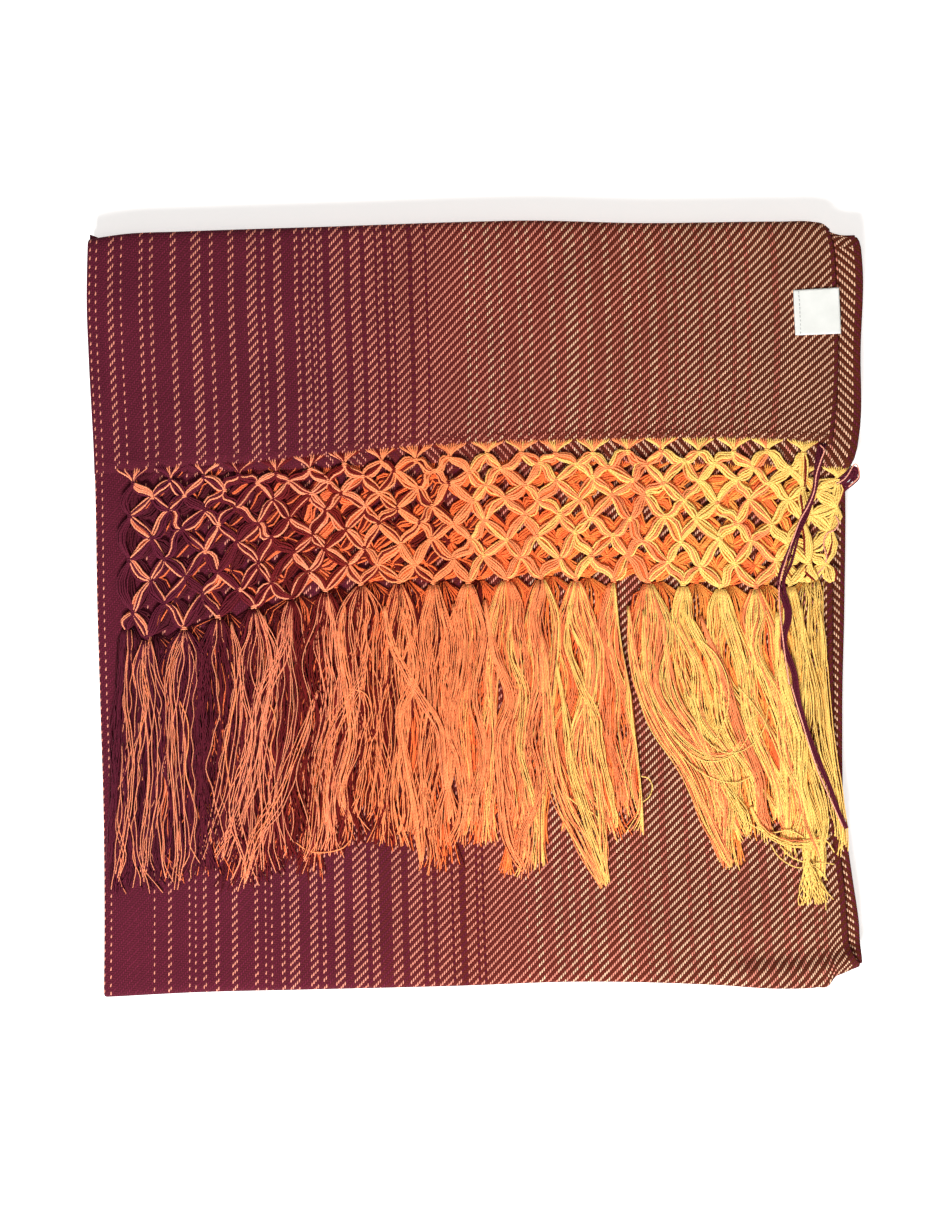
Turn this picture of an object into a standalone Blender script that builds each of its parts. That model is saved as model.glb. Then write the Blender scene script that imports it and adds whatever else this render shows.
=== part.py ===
"""A folded rebozo shawl with its knotted fringe laid over the top of the packet.

The web is doubled lengthwise, with the fold at the left and both selvedges at the right, then folded
crosswise. X runs across the packet, Y up it and Z away from the table it lies on. The origin is the
middle of the packet's underside. Metres throughout.
"""

import math

import bpy
import numpy as np

# Cloth thickness and the gap that parts one layer from the next
CLOTH = 0.0011
GAP = 0.0003
LAYER = CLOTH + GAP
DOUBLED = 2 * LAYER

# The packet: panels of doubled cloth hidden below the top one, and the heights that follow
HIDDEN_PANELS = 5
CORE_HEIGHT = HIDDEN_PANELS * DOUBLED - GAP
PANEL_MID = HIDDEN_PANELS * DOUBLED + LAYER - GAP / 2
FLAP_MID = PANEL_MID + DOUBLED
PANEL_TOP = PANEL_MID + GAP / 2 + CLOTH
FLAP_TOP = FLAP_MID + GAP / 2 + CLOTH

# A crosswise fold turns the doubled cloth through half a circle of this middle radius
FOLD_RADIUS = LAYER
FOLD_REACH = FOLD_RADIUS + GAP / 2 + CLOTH
FOLD_TAIL = 0.0015
FOLD_STEPS = 6
FOLD_TURNED = 2
TAIL_STATION = 2.5

# Sampling of the doubled cloth. Shares of the way from a selvedge to the spine fold, then steps
ACROSS_SHARES = (0.0, 0.018, 0.045, 0.09, 0.20, 0.36, 0.52, 0.68, 0.84, 1.0)
SPINE_STEPS = 4
FLAP_STEPS = 5
PANEL_STEPS = 7

# Lines that run across the packet. Columns: across, up
TOP_FOLD = (
    (-0.1940, 0.1850), (-0.1750, 0.1878), (-0.1475, 0.1890), (-0.0725, 0.1915), (0.0000, 0.1940),
    (0.0225, 0.1945), (0.0825, 0.1933), (0.1525, 0.1940), (0.1700, 0.1936), (0.1790, 0.1897), (0.1940, 0.1890),
)
BOTTOM_FOLD = (
    (-0.1860, -0.1945), (-0.1375, -0.1920), (-0.0875, -0.1908), (-0.0075, -0.1888), (0.0500, -0.1868),
    (0.1225, -0.1885), (0.1525, -0.1903), (0.1720, -0.1893), (0.1800, -0.1845), (0.1940, -0.1785),
)
CORE_BOTTOM = ((-0.1860, -0.1935), (-0.0875, -0.1900), (0.0500, -0.1862), (0.1525, -0.1897), (0.1790, -0.1895))
WOVEN_END_UPPER = (
    (-0.1910, 0.0675), (-0.1625, 0.0700), (-0.1125, 0.0730), (-0.0725, 0.0770), (-0.0025, 0.0825),
    (0.0625, 0.0840), (0.1525, 0.0840), (0.1810, 0.0820),
)
WOVEN_END_UNDER = ((-0.1910, 0.0675), (-0.1000, 0.0695), (0.0000, 0.0735), (0.1000, 0.0725), (0.1900, 0.0700))
LAST_KNOTS = (
    (-0.1650, -0.0140), (-0.1200, -0.0020), (-0.0800, 0.0090), (0.0000, 0.0145), (0.0600, 0.0155),
    (0.1100, 0.0120), (0.1800, 0.0130),
)

# Lines that run up the packet. Columns: up, across
LEFT_SIDE = (
    (-0.1945, -0.1858), (-0.1455, -0.1855), (-0.0955, -0.1860), (-0.0455, -0.1875), (0.0045, -0.1890),
    (0.0795, -0.1905), (0.1295, -0.1930), (0.1595, -0.1940), (0.1945, -0.1935),
)
PANEL_SIDE_UPPER = (
    (-0.1785, 0.1925), (-0.1630, 0.1880), (-0.1355, 0.1855), (-0.1000, 0.1820), (-0.0455, 0.1805),
    (0.0600, 0.1815), (0.1900, 0.1900),
)
PANEL_SIDE_UNDER = (
    (-0.1785, 0.1938), (-0.1505, 0.1925), (-0.1255, 0.1890), (-0.1005, 0.1855), (-0.0455, 0.1840),
    (0.0045, 0.1850), (0.0600, 0.1855), (0.1900, 0.1770),
)
FLAP_SIDE_UPPER = (
    (0.0820, 0.1785), (0.1045, 0.1808), (0.1345, 0.1815), (0.1595, 0.1805), (0.1795, 0.1792), (0.1900, 0.1770),
)
FLAP_SIDE_UNDER = (
    (0.0695, 0.1870), (0.0755, 0.1900), (0.0845, 0.1918), (0.1295, 0.1928), (0.1720, 0.1936),
    (0.1820, 0.1925), (0.1900, 0.1900),
)
CORE_RIGHT = ((-0.1900, 0.1800), (-0.1200, 0.1815), (0.0000, 0.1822), (0.1000, 0.1835), (0.1900, 0.1810))

# Heights up the packet where the cloth's sides meet its folds and its woven end
FOLD_UP = 0.1900
UPPER_CORNER = 0.0820
UNDER_CORNER = 0.0695
RIGHT_CORNER = -0.1785
LEFT_CORNER = -0.1900

# The core's corners, and how far the grooves between panels and between selvedges go in
CORE_ACROSS = (-0.1840, 0.1790)
CORE_UP = (-0.1880, 0.1880)
CORE_SLACK = 0.0006
CORE_SIDE_POINTS = 9
NOSE = 0.0005
PANEL_GROOVE = 0.0035
SELVEDGE_GROOVE = 0.0012
SELVEDGE_SHIFTS = (0.0000, 0.0014, 0.0004, 0.0020, 0.0008)
FOOT_INSET = 0.0012
FOLD_ROOM = FOLD_REACH + FOLD_TAIL + GAP
CORNER_INSET = 0.0025
CORE_CLEARANCE = 0.0010
TOP_PAIR_LEVEL = 4 * (HIDDEN_PANELS - 1)

# The knotted nets: 20 warp groups, 8 rows of knots, odd rows on the groups and even rows between them
GROUPS = 20
ROWS = 8
HEADER_GAP = 0.0008
HEADER_DEPTH = 0.0012
FIRST_KNOT_DROP = 0.0042
FAN_HALF_WIDTH = 0.0066
KNOT_REACH = 0.0015
FAN_FOOT = 0.0010
LEAF_HALF_WIDTH = 0.0020
EDGE_LOOP_BULGE = 0.0062
EDGE_TAIL = (0.0035, 0.0085)
JITTER = 0.0007
UNDER_NET_LIFT = 0.0016
# Columns: net, across at the first group and step between groups, in the first row and in the last row
NET_SPREAD = {
    "upper": (-0.1700, 0.01758, -0.1724, 0.01786),
    "under": (-0.1680, 0.01840, -0.1690, 0.01800),
}
NET_HEIGHTS = {
    "upper": (FLAP_MID + GAP / 2, FLAP_TOP, PANEL_TOP + 0.0020, PANEL_TOP + 0.0037),
    "under": (FLAP_MID - GAP / 2 - CLOTH, FLAP_MID - GAP / 2, PANEL_TOP + GAP, PANEL_TOP + 0.0017),
}

# The tassels: a head below each last knot, with locks in an upper and a lower row
HEAD_LENGTH = 0.0028
HEAD_HALF_WIDTH = 0.0016
HEAD_BASE = PANEL_TOP + 0.0005
HEAD_TOP = PANEL_TOP + 0.0037
LOCKS_ACROSS = 3
LOCK_THICKNESS = 0.0014
LOCK_BASES = (PANEL_TOP + GAP, PANEL_TOP + 0.0021)
# Columns: share of the length, share of the lane that the locks spread over, share of the lock's own width
LOCK_SECTIONS = ((0.12, 0.80, 0.90), (0.55, 0.98, 0.92), (1.00, 0.80, 0.55))
LANE_FILL = 0.95
LOCK_SWAY = 0.0022
# Columns: across and up at the tassel's tip, from the left side of the fringe to the right
TASSEL_TIPS = (
    (-0.1810, -0.1390), (-0.1650, -0.1385), (-0.1475, -0.1350), (-0.1300, -0.1290), (-0.1150, -0.1370),
    (-0.0960, -0.1315), (-0.0775, -0.1310), (-0.0620, -0.1150), (-0.0435, -0.1170), (-0.0225, -0.1285),
    (-0.0060, -0.1160), (0.0130, -0.1150), (0.0300, -0.1300), (0.0550, -0.1120), (0.0790, -0.1105),
    (0.1210, -0.1260), (0.1350, -0.1120), (0.1490, -0.1150), (0.1620, -0.1220), (0.1745, -0.1440),
    (0.1855, -0.1210),
)

# The sewn label
LABEL_WIDTH = 0.0226
LABEL_HEIGHT = 0.0228
LABEL_THICKNESS = 0.0008
LABEL_CENTRE = (0.1715, 0.1482)
LABEL_TILT = math.radians(2.6)

# Colours and surfaces. Columns: base colour, roughness
FINISHES = {
    "plum_twill": ((0.115, 0.022, 0.045), 0.85),
    "striped_twill": ((0.230, 0.062, 0.040), 0.82),
    "orange_yarn": ((0.870, 0.270, 0.090), 0.75),
    "deep_orange_yarn": ((0.720, 0.130, 0.045), 0.78),
    "label_white": ((0.800, 0.810, 0.780), 0.60),
}
METALLIC = 0.0


def line_at(line, position):
    """Height of a smooth line through a table's rows, by cubic Hermite spans with averaged slopes."""
    rows = np.array(line, float)
    places, heights = rows[:, 0], rows[:, 1]
    slopes = np.gradient(heights, places)
    position = float(np.clip(position, places[0], places[-1]))
    span = int(np.clip(np.searchsorted(places, position) - 1, 0, len(places) - 2))
    width = places[span + 1] - places[span]
    t = (position - places[span]) / width
    start = (1 + 2 * t) * (1 - t) ** 2 * heights[span] + t * (1 - t) ** 2 * width * slopes[span]
    end = t * t * (3 - 2 * t) * heights[span + 1] + t * t * (t - 1) * width * slopes[span + 1]
    return float(start + end)


def material(name):
    """The Principled material of a finish."""
    made = bpy.data.materials.get(name)
    if made is None:
        colour, roughness = FINISHES[name]
        made = bpy.data.materials.new(name)
        made.use_nodes = True
        surface = made.node_tree.nodes["Principled BSDF"]
        surface.inputs["Base Color"].default_value = (*colour, 1.0)
        surface.inputs["Roughness"].default_value = roughness
        surface.inputs["Metallic"].default_value = METALLIC
        made.diffuse_color = (*colour, 1.0)
    return made


def add_solid(name, points, faces, finish):
    """A named object from points and faces, shaded smooth but for its sharp edges."""
    mesh = bpy.data.meshes.new(name)
    mesh.from_pydata([tuple(point) for point in points], [], faces)
    mesh.validate()
    mesh.shade_smooth()
    mesh.set_sharp_from_angle(angle=math.radians(40))
    solid = bpy.data.objects.new(name, mesh)
    solid.data.materials.append(material(finish))
    bpy.context.scene.collection.objects.link(solid)
    return solid


def ring_faces(rings, count):
    """Quads between one ring of points and the next, for rings of equal length."""
    faces = []
    for ring in range(rings - 1):
        for place in range(count):
            following = (place + 1) % count
            low, high = ring * count, (ring + 1) * count
            faces.append((low + place, low + following, high + following, high + place))
    return faces


def doubled_section(height, upper_side, under_side, left_side, place):
    """One closed ring of the doubled cloth: its outer face from the upper selvedge round the spine fold to the
    under selvedge, then its inner face back. place(across, offset, layer) puts a point in space."""
    outer = GAP / 2 + CLOTH
    inner = GAP / 2
    spine = left_side + outer
    chains = []
    for offset in (outer, inner):
        upper = [
            (upper_side + (spine - upper_side) * share, offset, 1.0)
            for share in ACROSS_SHARES
        ]
        turn = []
        for step in range(1, SPINE_STEPS):
            angle = math.pi / 2 + math.pi * step / SPINE_STEPS
            turn.append((spine + offset * math.cos(angle), offset * math.sin(angle), math.sin(angle)))
        under = [
            (under_side + (spine - under_side) * share, -offset, -1.0)
            for share in reversed(ACROSS_SHARES)
        ]
        chains.append(upper + turn + under)
    ring = chains[0] + chains[1][::-1]
    return [place(across, height, offset, layer) for across, offset, layer in ring]


def doubled_cloth(name, finish, stations, sides, place):
    """A stretch of doubled cloth through one ring for each station, with both ends closed."""
    rings = []
    for station in stations:
        upper_side, under_side, left_side = sides(station)
        rings.append(doubled_section(station, upper_side, under_side, left_side, place))
    count = len(rings[0])
    points = [point for ring in rings for point in ring]
    faces = ring_faces(len(rings), count)
    half = count // 2
    last = (len(rings) - 1) * count
    for step in range(half - 1):
        back, back_next = count - 1 - step, count - 2 - step
        faces.append((step, back, back_next, step + 1))
        faces.append((last + step, last + step + 1, last + back_next, last + back))
    return add_solid(name, points, faces, finish)


def fold_point(bend, offset, share):
    """Distance past the bend and height above its centre, for a share of the half turn."""
    angle = math.pi * share
    reach = FOLD_RADIUS + offset
    return bend + reach * math.sin(angle), reach * math.cos(angle)


def spine_blend(layer, upper, under):
    """A value between the upper layer's (layer 1) and the under layer's (layer -1)."""
    return under + (upper - under) * (layer + 1) / 2


def end_flap():
    """The shawl's end, turned over the packet's top edge: stations 0 to 1 lie flat, 1 to 2 turn, past 2 is the tail."""
    centre = FLAP_MID - FOLD_RADIUS

    def place(across, station, offset, layer):
        bend = line_at(TOP_FOLD, across) - FOLD_REACH
        if station <= 1:
            woven = spine_blend(
                layer, line_at(WOVEN_END_UPPER, across), line_at(WOVEN_END_UNDER, across)
            )
            return across, woven + (bend - woven) * station, FLAP_MID + offset
        if station <= FOLD_TURNED:
            up, rise = fold_point(bend, offset, station - 1)
            return across, up, centre + rise
        return across, bend - FOLD_TAIL, centre - FOLD_RADIUS - offset

    def sides(station):
        share = min(station, 1.0)
        upper_up = UPPER_CORNER + (FOLD_UP - UPPER_CORNER) * share
        under_up = UNDER_CORNER + (FOLD_UP - UNDER_CORNER) * share
        return (
            line_at(FLAP_SIDE_UPPER, upper_up),
            line_at(FLAP_SIDE_UNDER, under_up),
            line_at(LEFT_SIDE, under_up),
        )

    flat = [step / FLAP_STEPS for step in range(FLAP_STEPS)]
    turn = [1 + step / FOLD_STEPS for step in range(FOLD_STEPS + 1)]
    stations = flat + turn + [TAIL_STATION]
    solid = doubled_cloth("end_flap", "striped_twill", stations, sides, place)
    solid.data.flip_normals()
    return solid


def top_panel():
    """The packet's top panel, which turns down round its bottom edge into the panel below."""
    centre = PANEL_MID - FOLD_RADIUS

    def place(across, station, offset, layer):
        bend = line_at(BOTTOM_FOLD, across) + FOLD_REACH
        if station <= 1:
            start = line_at(TOP_FOLD, across) - FOLD_ROOM
            return across, start + (bend - start) * station, PANEL_MID + offset
        if station <= FOLD_TURNED:
            down, rise = fold_point(-bend, offset, station - 1)
            return across, -down, centre + rise
        return across, bend + FOLD_TAIL, centre - FOLD_RADIUS - offset

    def sides(station):
        share = min(station, 1.0)
        up = FOLD_UP + (RIGHT_CORNER - FOLD_UP) * share
        left_up = FOLD_UP + (LEFT_CORNER - FOLD_UP) * share
        return line_at(PANEL_SIDE_UPPER, up), line_at(PANEL_SIDE_UNDER, up), line_at(LEFT_SIDE, left_up)

    flat = [step / PANEL_STEPS for step in range(PANEL_STEPS)]
    turn = [1 + step / FOLD_STEPS for step in range(FOLD_STEPS + 1)]
    return doubled_cloth("top_panel", "striped_twill", flat + turn + [TAIL_STATION], sides, place)


def core_inset(side, level):
    """How far the hidden panels' edge lies in from its line. Levels run up from the floor: odd ones are the
    middle of a layer and even ones the line between two layers."""
    layer, between = level // 2, level % 2 == 0
    panel_line = between and layer % 2 == 0
    pair_line = panel_line and (layer // 2) % 2 == (1 if side == "top" else 0)
    if level in (0, 4 * HIDDEN_PANELS):
        return FOOT_INSET
    if side == "left":
        return PANEL_GROOVE if panel_line else NOSE * (not between)
    if side == "right":
        shift = SELVEDGE_SHIFTS[(layer * 3) % len(SELVEDGE_SHIFTS)]
        return shift + SELVEDGE_GROOVE * between
    return PANEL_GROOVE if pair_line else NOSE * between


def core_outline():
    """Points round the hidden panels, with the side that each lies on and the way out from it."""
    outline = []
    share = [step / CORE_SIDE_POINTS for step in range(CORE_SIDE_POINTS)]
    left, right = CORE_ACROSS
    low, high = CORE_UP
    for step in share:
        across = left + (right - left) * step
        outline.append((across, line_at(CORE_BOTTOM, across), "bottom", (0, -1)))
    for step in share:
        up = low + (high - low) * step
        outline.append((line_at(CORE_RIGHT, up), up, "right", (1, 0)))
    for step in share:
        across = right + (left - right) * step
        outline.append((across, line_at(TOP_FOLD, across) - CORE_SLACK, "top", (0, 1)))
    for step in share:
        up = high + (low - high) * step
        outline.append((line_at(LEFT_SIDE, up) + CORE_SLACK, up, "left", (-1, 0)))
    return outline


def folded_core():
    """The hidden panels as one rounded solid, with grooves at its edges between panels and selvedges."""
    outline = core_outline()
    count = len(outline)
    levels = 4 * HIDDEN_PANELS + 1
    points = []
    for level in range(levels):
        layer, between = level // 2, level % 2 == 0
        height = layer * LAYER - GAP / 2 if between else layer * LAYER + CLOTH / 2
        height = min(max(height, 0.0), CORE_HEIGHT)
        for place, (across, up, side, way) in enumerate(outline):
            inset = core_inset(side, level)
            near_corner = place % CORE_SIDE_POINTS == 0
            slide = CORNER_INSET * near_corner
            point_across = across - way[0] * inset - way[1] * slide
            point_up = up - way[1] * inset + way[0] * slide
            if level >= TOP_PAIR_LEVEL:
                room = line_at(BOTTOM_FOLD, point_across) + FOLD_ROOM + CORE_CLEARANCE
                point_up = max(point_up, room)
            points.append((point_across, point_up, height))
    faces = ring_faces(levels, count)
    faces.append(tuple(range(count))[::-1])
    faces.append(tuple(range((levels - 1) * count, levels * count)))
    return add_solid("folded_core", points, faces, "plum_twill")


class NetMesh:
    """Points and faces of a knotted net: knot blocks whose side faces open into leaves of yarn."""

    def __init__(self):
        self.points = []
        self.faces = []

    def post(self, across, up, low, high):
        """A lower and an upper point, one above the other."""
        self.points += [(across, up, low), (across, up, high)]
        return len(self.points) - 2, len(self.points) - 1

    def block(self, corners, open_sides):
        """A knot over corners, listed anticlockwise, with a wall on each side that no leaf leaves from."""
        self.faces.append(tuple(corner[1] for corner in corners))
        self.faces.append(tuple(corner[0] for corner in corners)[::-1])
        for place, corner in enumerate(corners):
            following = corners[(place + 1) % len(corners)]
            if place not in open_sides:
                self.faces.append((corner[0], following[0], following[1], corner[1]))

    def leaf(self, sections):
        """A bundle of yarn through sections, each a left and a right post as seen along it."""
        for (left, right), (left_next, right_next) in zip(sections, sections[1:]):
            self.faces.append((right[1], right_next[1], left_next[1], left[1]))
            self.faces.append((left[0], left_next[0], right_next[0], right[0]))
            self.faces.append((left[0], left[1], left_next[1], left_next[0]))
            self.faces.append((right[0], right_next[0], right_next[1], right[1]))

    def cap(self, section):
        """Closes the free end of a leaf."""
        left, right = section
        self.faces.append((left[0], left[1], right[1], right[0]))


def knot_place(net, group, row):
    """Across and up of a knot. Odd rows have whole group numbers and even rows halves."""
    first_top, step_top, first_last, step_last = NET_SPREAD[net]
    share = (row - 1) / (ROWS - 1)
    across = (first_top + step_top * group) * (1 - share) + (first_last + step_last * group) * share
    woven = line_at(WOVEN_END_UPPER if net == "upper" else WOVEN_END_UNDER, across)
    last = line_at(LAST_KNOTS, across) + (UNDER_NET_LIFT if net == "under" else 0.0)
    up = (woven - HEADER_GAP - HEADER_DEPTH - FIRST_KNOT_DROP) * (1 - share) + last * share
    inside = 1.0 if 1 < row < ROWS else 0.0
    across += JITTER * inside * math.sin(12.9 * group + 7.3 * row)
    up += JITTER * inside * math.sin(5.7 * group + 9.1 * row + 1.3)
    return across, up


def leaf_middle(mesh, start, end, low, high, bulge=0.0, side=1.0):
    """The wide section halfway along a leaf: its left and right posts."""
    along = np.array(end) - np.array(start)
    along = along / np.linalg.norm(along)
    left = np.array((-along[1], along[0]))
    middle = (np.array(start) + np.array(end)) / 2 + np.array((bulge * side, 0.0))
    posts = []
    for way in (1.0, -1.0):
        across, up = middle + left * way * LEAF_HALF_WIDTH
        posts.append(mesh.post(across, up, low, high))
    return tuple(posts)


def net_knots(net, mesh, low, high):
    """Every knot's corner posts by (row, group), with the walls that no leaf or fan leaves from."""
    knots = {}
    for row in range(1, ROWS + 1):
        odd = row % 2 == 1
        groups = range(GROUPS) if odd else range(GROUPS - 1)
        for number in groups:
            group = number if odd else number + 0.5
            across, up = knot_place(net, group, row)
            east = mesh.post(across + KNOT_REACH, up, low, high)
            west = mesh.post(across - KNOT_REACH, up, low, high)
            south = mesh.post(across, up - KNOT_REACH, low, high)
            if row == 1:
                right = mesh.post(across + FAN_FOOT, up + KNOT_REACH, low, high)
                left = mesh.post(across - FAN_FOOT, up + KNOT_REACH, low, high)
                corners, open_sides = (east, right, left, west, south), {1, 3, 4}
                knots[row, group] = {"E": east, "W": west, "S": south, "fan": (left, right)}
            else:
                north = mesh.post(across, up + KNOT_REACH, low, high)
                corners = (east, north, west, south)
                open_sides = {0, 1} if row == ROWS else {0, 1, 2, 3}
                knots[row, group] = {"E": east, "N": north, "W": west, "S": south}
            mesh.block(corners, open_sides)
    return knots


def net_leaves(net, mesh, knots, low, high, with_middles):
    """The leaves from each row of knots to the next, the loops down both edges and their two free ends."""
    for (row, group), knot in knots.items():
        if row == ROWS:
            continue
        here = knot_place(net, group, row)
        for turn in (0.5, -0.5):
            towards = knots.get((row + 1, group + turn))
            if turn > 0:
                start = (knot["E"], knot["S"])
            else:
                start = (knot["S"], knot["W"])
            if towards is not None:
                there = knot_place(net, group + turn, row + 1)
                middle = [leaf_middle(mesh, here, there, low, high)] if with_middles else []
                end = (towards["N"], towards["W"]) if turn > 0 else (towards["E"], towards["N"])
                mesh.leaf([start, *middle, end])
                continue
            side = 1.0 if turn > 0 else -1.0
            if row + 2 <= ROWS:
                below = knots[row + 2, group]
                there = knot_place(net, group, row + 2)
                middle = leaf_middle(mesh, here, there, low, high, EDGE_LOOP_BULGE, side)
                end = (below["N"], below["W"]) if turn < 0 else (below["E"], below["N"])
                mesh.leaf([start, middle, end])
            else:
                across, up = edge_tassel_root(net, group, side)
                free = [
                    mesh.post(across + way * HEAD_HALF_WIDTH / 2, up, low, high) for way in (1.0, -1.0)
                ]
                mesh.leaf([start, tuple(free)])
                mesh.cap(tuple(free))


def edge_tassel_root(net, group, side):
    """Where the half group at the edge of the last full row lets go of the net."""
    across, up = knot_place(net, group, ROWS - 1)
    return across + side * EDGE_TAIL[0], up - EDGE_TAIL[1]


def net_header(net, mesh, knots, low, high):
    """The frayed end of the weave, a narrow strip along the cloth, with a fan of warp down to each first knot."""
    woven = WOVEN_END_UPPER if net == "upper" else WOVEN_END_UNDER
    stations = []
    for group in range(GROUPS):
        across, _ = knot_place(net, group, 1)
        stations += [across - FAN_HALF_WIDTH, across + FAN_HALF_WIDTH]
    back = [mesh.post(x, line_at(woven, x) - HEADER_GAP, low, high) for x in stations]
    front = [mesh.post(x, line_at(woven, x) - HEADER_GAP - HEADER_DEPTH, low, high) for x in stations]
    for place in range(len(stations) - 1):
        mesh.faces.append((front[place][1], front[place + 1][1], back[place + 1][1], back[place][1]))
        mesh.faces.append((back[place][0], back[place + 1][0], front[place + 1][0], front[place][0]))
        mesh.faces.append((back[place][0], back[place][1], back[place + 1][1], back[place + 1][0]))
        if place % 2:
            mesh.faces.append((front[place][0], front[place + 1][0], front[place + 1][1], front[place][1]))
        else:
            left, right = knots[1, place // 2]["fan"]
            mesh.leaf([(front[place + 1], front[place]), (right, left)])
    mesh.faces.append((front[0][0], front[0][1], back[0][1], back[0][0]))
    mesh.faces.append((front[-1][0], back[-1][0], back[-1][1], front[-1][1]))


def knotted_net(net, finish, with_middles):
    """One layer's net, from the frayed end of the weave to its last knots."""
    header_low, header_high, low, high = NET_HEIGHTS[net]
    mesh = NetMesh()
    knots = net_knots(net, mesh, low, high)
    net_leaves(net, mesh, knots, low, high, with_middles)
    net_header(net, mesh, knots, header_low, header_high)
    return add_solid(f"net_{net}", mesh.points, mesh.faces, finish)


def tassel_roots():
    """Where each tassel's head starts, from the left side of the fringe to the right."""
    edge_left = edge_tassel_root("upper", 0, -1.0)
    edge_right = edge_tassel_root("upper", GROUPS - 1, 1.0)
    roots = [(edge_left[0], edge_left[1] - GAP)]
    for number in range(GROUPS - 1):
        across, up = knot_place("upper", number + 0.5, ROWS)
        roots.append((across, up - KNOT_REACH - GAP))
    roots.append((edge_right[0], edge_right[1] - GAP))
    return roots


def tassel_line(root, tip, share):
    """A point on a tassel's middle line, from its head to its tip. It leaves the knot straight down the packet."""
    ease = share * share * (3 - 2 * share)
    across = root[0] + (tip[0] - root[0]) * (0.35 * share + 0.65 * ease)
    up = root[1] - HEAD_LENGTH + (tip[1] - root[1] + HEAD_LENGTH) * share
    across += LOCK_SWAY * math.sin(math.pi * share) * math.sin(9.0 * share + 25.0 * root[0])
    return across, up


def lane_width(number, roots, share):
    """Free width round a tassel's middle line: half the way to each neighbour's line."""
    lines = [tassel_line(root, tip, share)[0] for root, tip in zip(roots, TASSEL_TIPS)]
    here = lines[number]
    rooms = [abs(lines[other] - here) for other in (number - 1, number + 1) if 0 <= other < len(lines)]
    return min(rooms)


def tassel(number, roots):
    """One tassel: a head with locks drawn from the squares of its front face, in an upper and a lower row."""
    root, tip = roots[number], TASSEL_TIPS[number]
    columns = LOCKS_ACROSS + 1
    levels = (HEAD_BASE, (HEAD_BASE + HEAD_TOP) / 2, HEAD_TOP)
    points = []
    for level in levels:
        for column in range(columns):
            across = root[0] - HEAD_HALF_WIDTH + 2 * HEAD_HALF_WIDTH * column / LOCKS_ACROSS
            points.append((across, root[1] - HEAD_LENGTH, level))
    back = len(points)
    for way in (-1.0, 1.0):
        for level in (HEAD_BASE, HEAD_TOP):
            points.append((root[0] + way * HEAD_HALF_WIDTH / 2, root[1], level))
    low_left, high_left, low_right, high_right = range(back, back + 4)
    top_row, last = 2 * columns, columns - 1
    faces = [
        (low_left, high_left, high_right, low_right),
        (*range(top_row, top_row + columns), high_right, high_left),
        (*range(last, -1, -1), low_left, low_right),
        (0, columns, top_row, high_left, low_left),
        (last, low_right, high_right, top_row + last, columns + last),
    ]
    for row, base in enumerate(LOCK_BASES):
        for column in range(LOCKS_ACROSS):
            corner = row * columns + column
            section = [corner, corner + 1, corner + columns + 1, corner + columns]
            reach = 1.0 - 0.035 * ((number + 2 * column + row) % 3)
            for share, spread, own in LOCK_SECTIONS:
                across, up = tassel_line(root, tip, share * reach)
                lane = lane_width(number, roots, share * reach) * LANE_FILL
                slot = lane * spread / LOCKS_ACROSS
                centre = across + slot * (column - (LOCKS_ACROSS - 1) / 2)
                half = slot * own / 2
                top = base + LOCK_THICKNESS * (0.75 if share == 1.0 else 1.0)
                following = len(points)
                points += [
                    (centre - half, up, base),
                    (centre + half, up, base),
                    (centre + half, up, top),
                    (centre - half, up, top),
                ]
                ring = [following, following + 1, following + 2, following + 3]
                for place in range(4):
                    beyond = (place + 1) % 4
                    faces.append((section[place], section[beyond], ring[beyond], ring[place]))
                section = ring
            faces.append(tuple(section))
    return add_solid(f"tassel_{number + 1:02d}", points, faces, "orange_yarn")


def label():
    """The woven label, a thin plate turned slightly, lying on the flap near its selvedge."""
    base = FLAP_TOP + GAP
    points = []
    for height in (base, base + LABEL_THICKNESS):
        for side, end in ((-1, -1), (1, -1), (1, 1), (-1, 1)):
            across, up = side * LABEL_WIDTH / 2, end * LABEL_HEIGHT / 2
            points.append(
                (
                    LABEL_CENTRE[0] + across * math.cos(LABEL_TILT) - up * math.sin(LABEL_TILT),
                    LABEL_CENTRE[1] + across * math.sin(LABEL_TILT) + up * math.cos(LABEL_TILT),
                    height,
                )
            )
    faces = [(3, 2, 1, 0), (4, 5, 6, 7)]
    faces += [(side, (side + 1) % 4, 4 + (side + 1) % 4, 4 + side) for side in range(4)]
    return add_solid("label", points, faces, "label_white")


def main():
    for old in list(bpy.data.objects):
        bpy.data.objects.remove(old)
    folded_core()
    top_panel()
    end_flap()
    knotted_net("under", "deep_orange_yarn", False)
    knotted_net("upper", "orange_yarn", True)
    roots = tassel_roots()
    for number in range(len(TASSEL_TIPS)):
        tassel(number, roots)
    label()


main()
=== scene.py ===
"""A folded rebozo shawl: striped twill, a knotted net at its woven end and loose tassels, lying flat.

The cloth is doubled lengthwise, with the fold at the left and both selvedges at the right, then folded
crosswise into a packet. X runs across the packet, Y up it and Z away from the table. Metres throughout.
"""

import math

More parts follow.
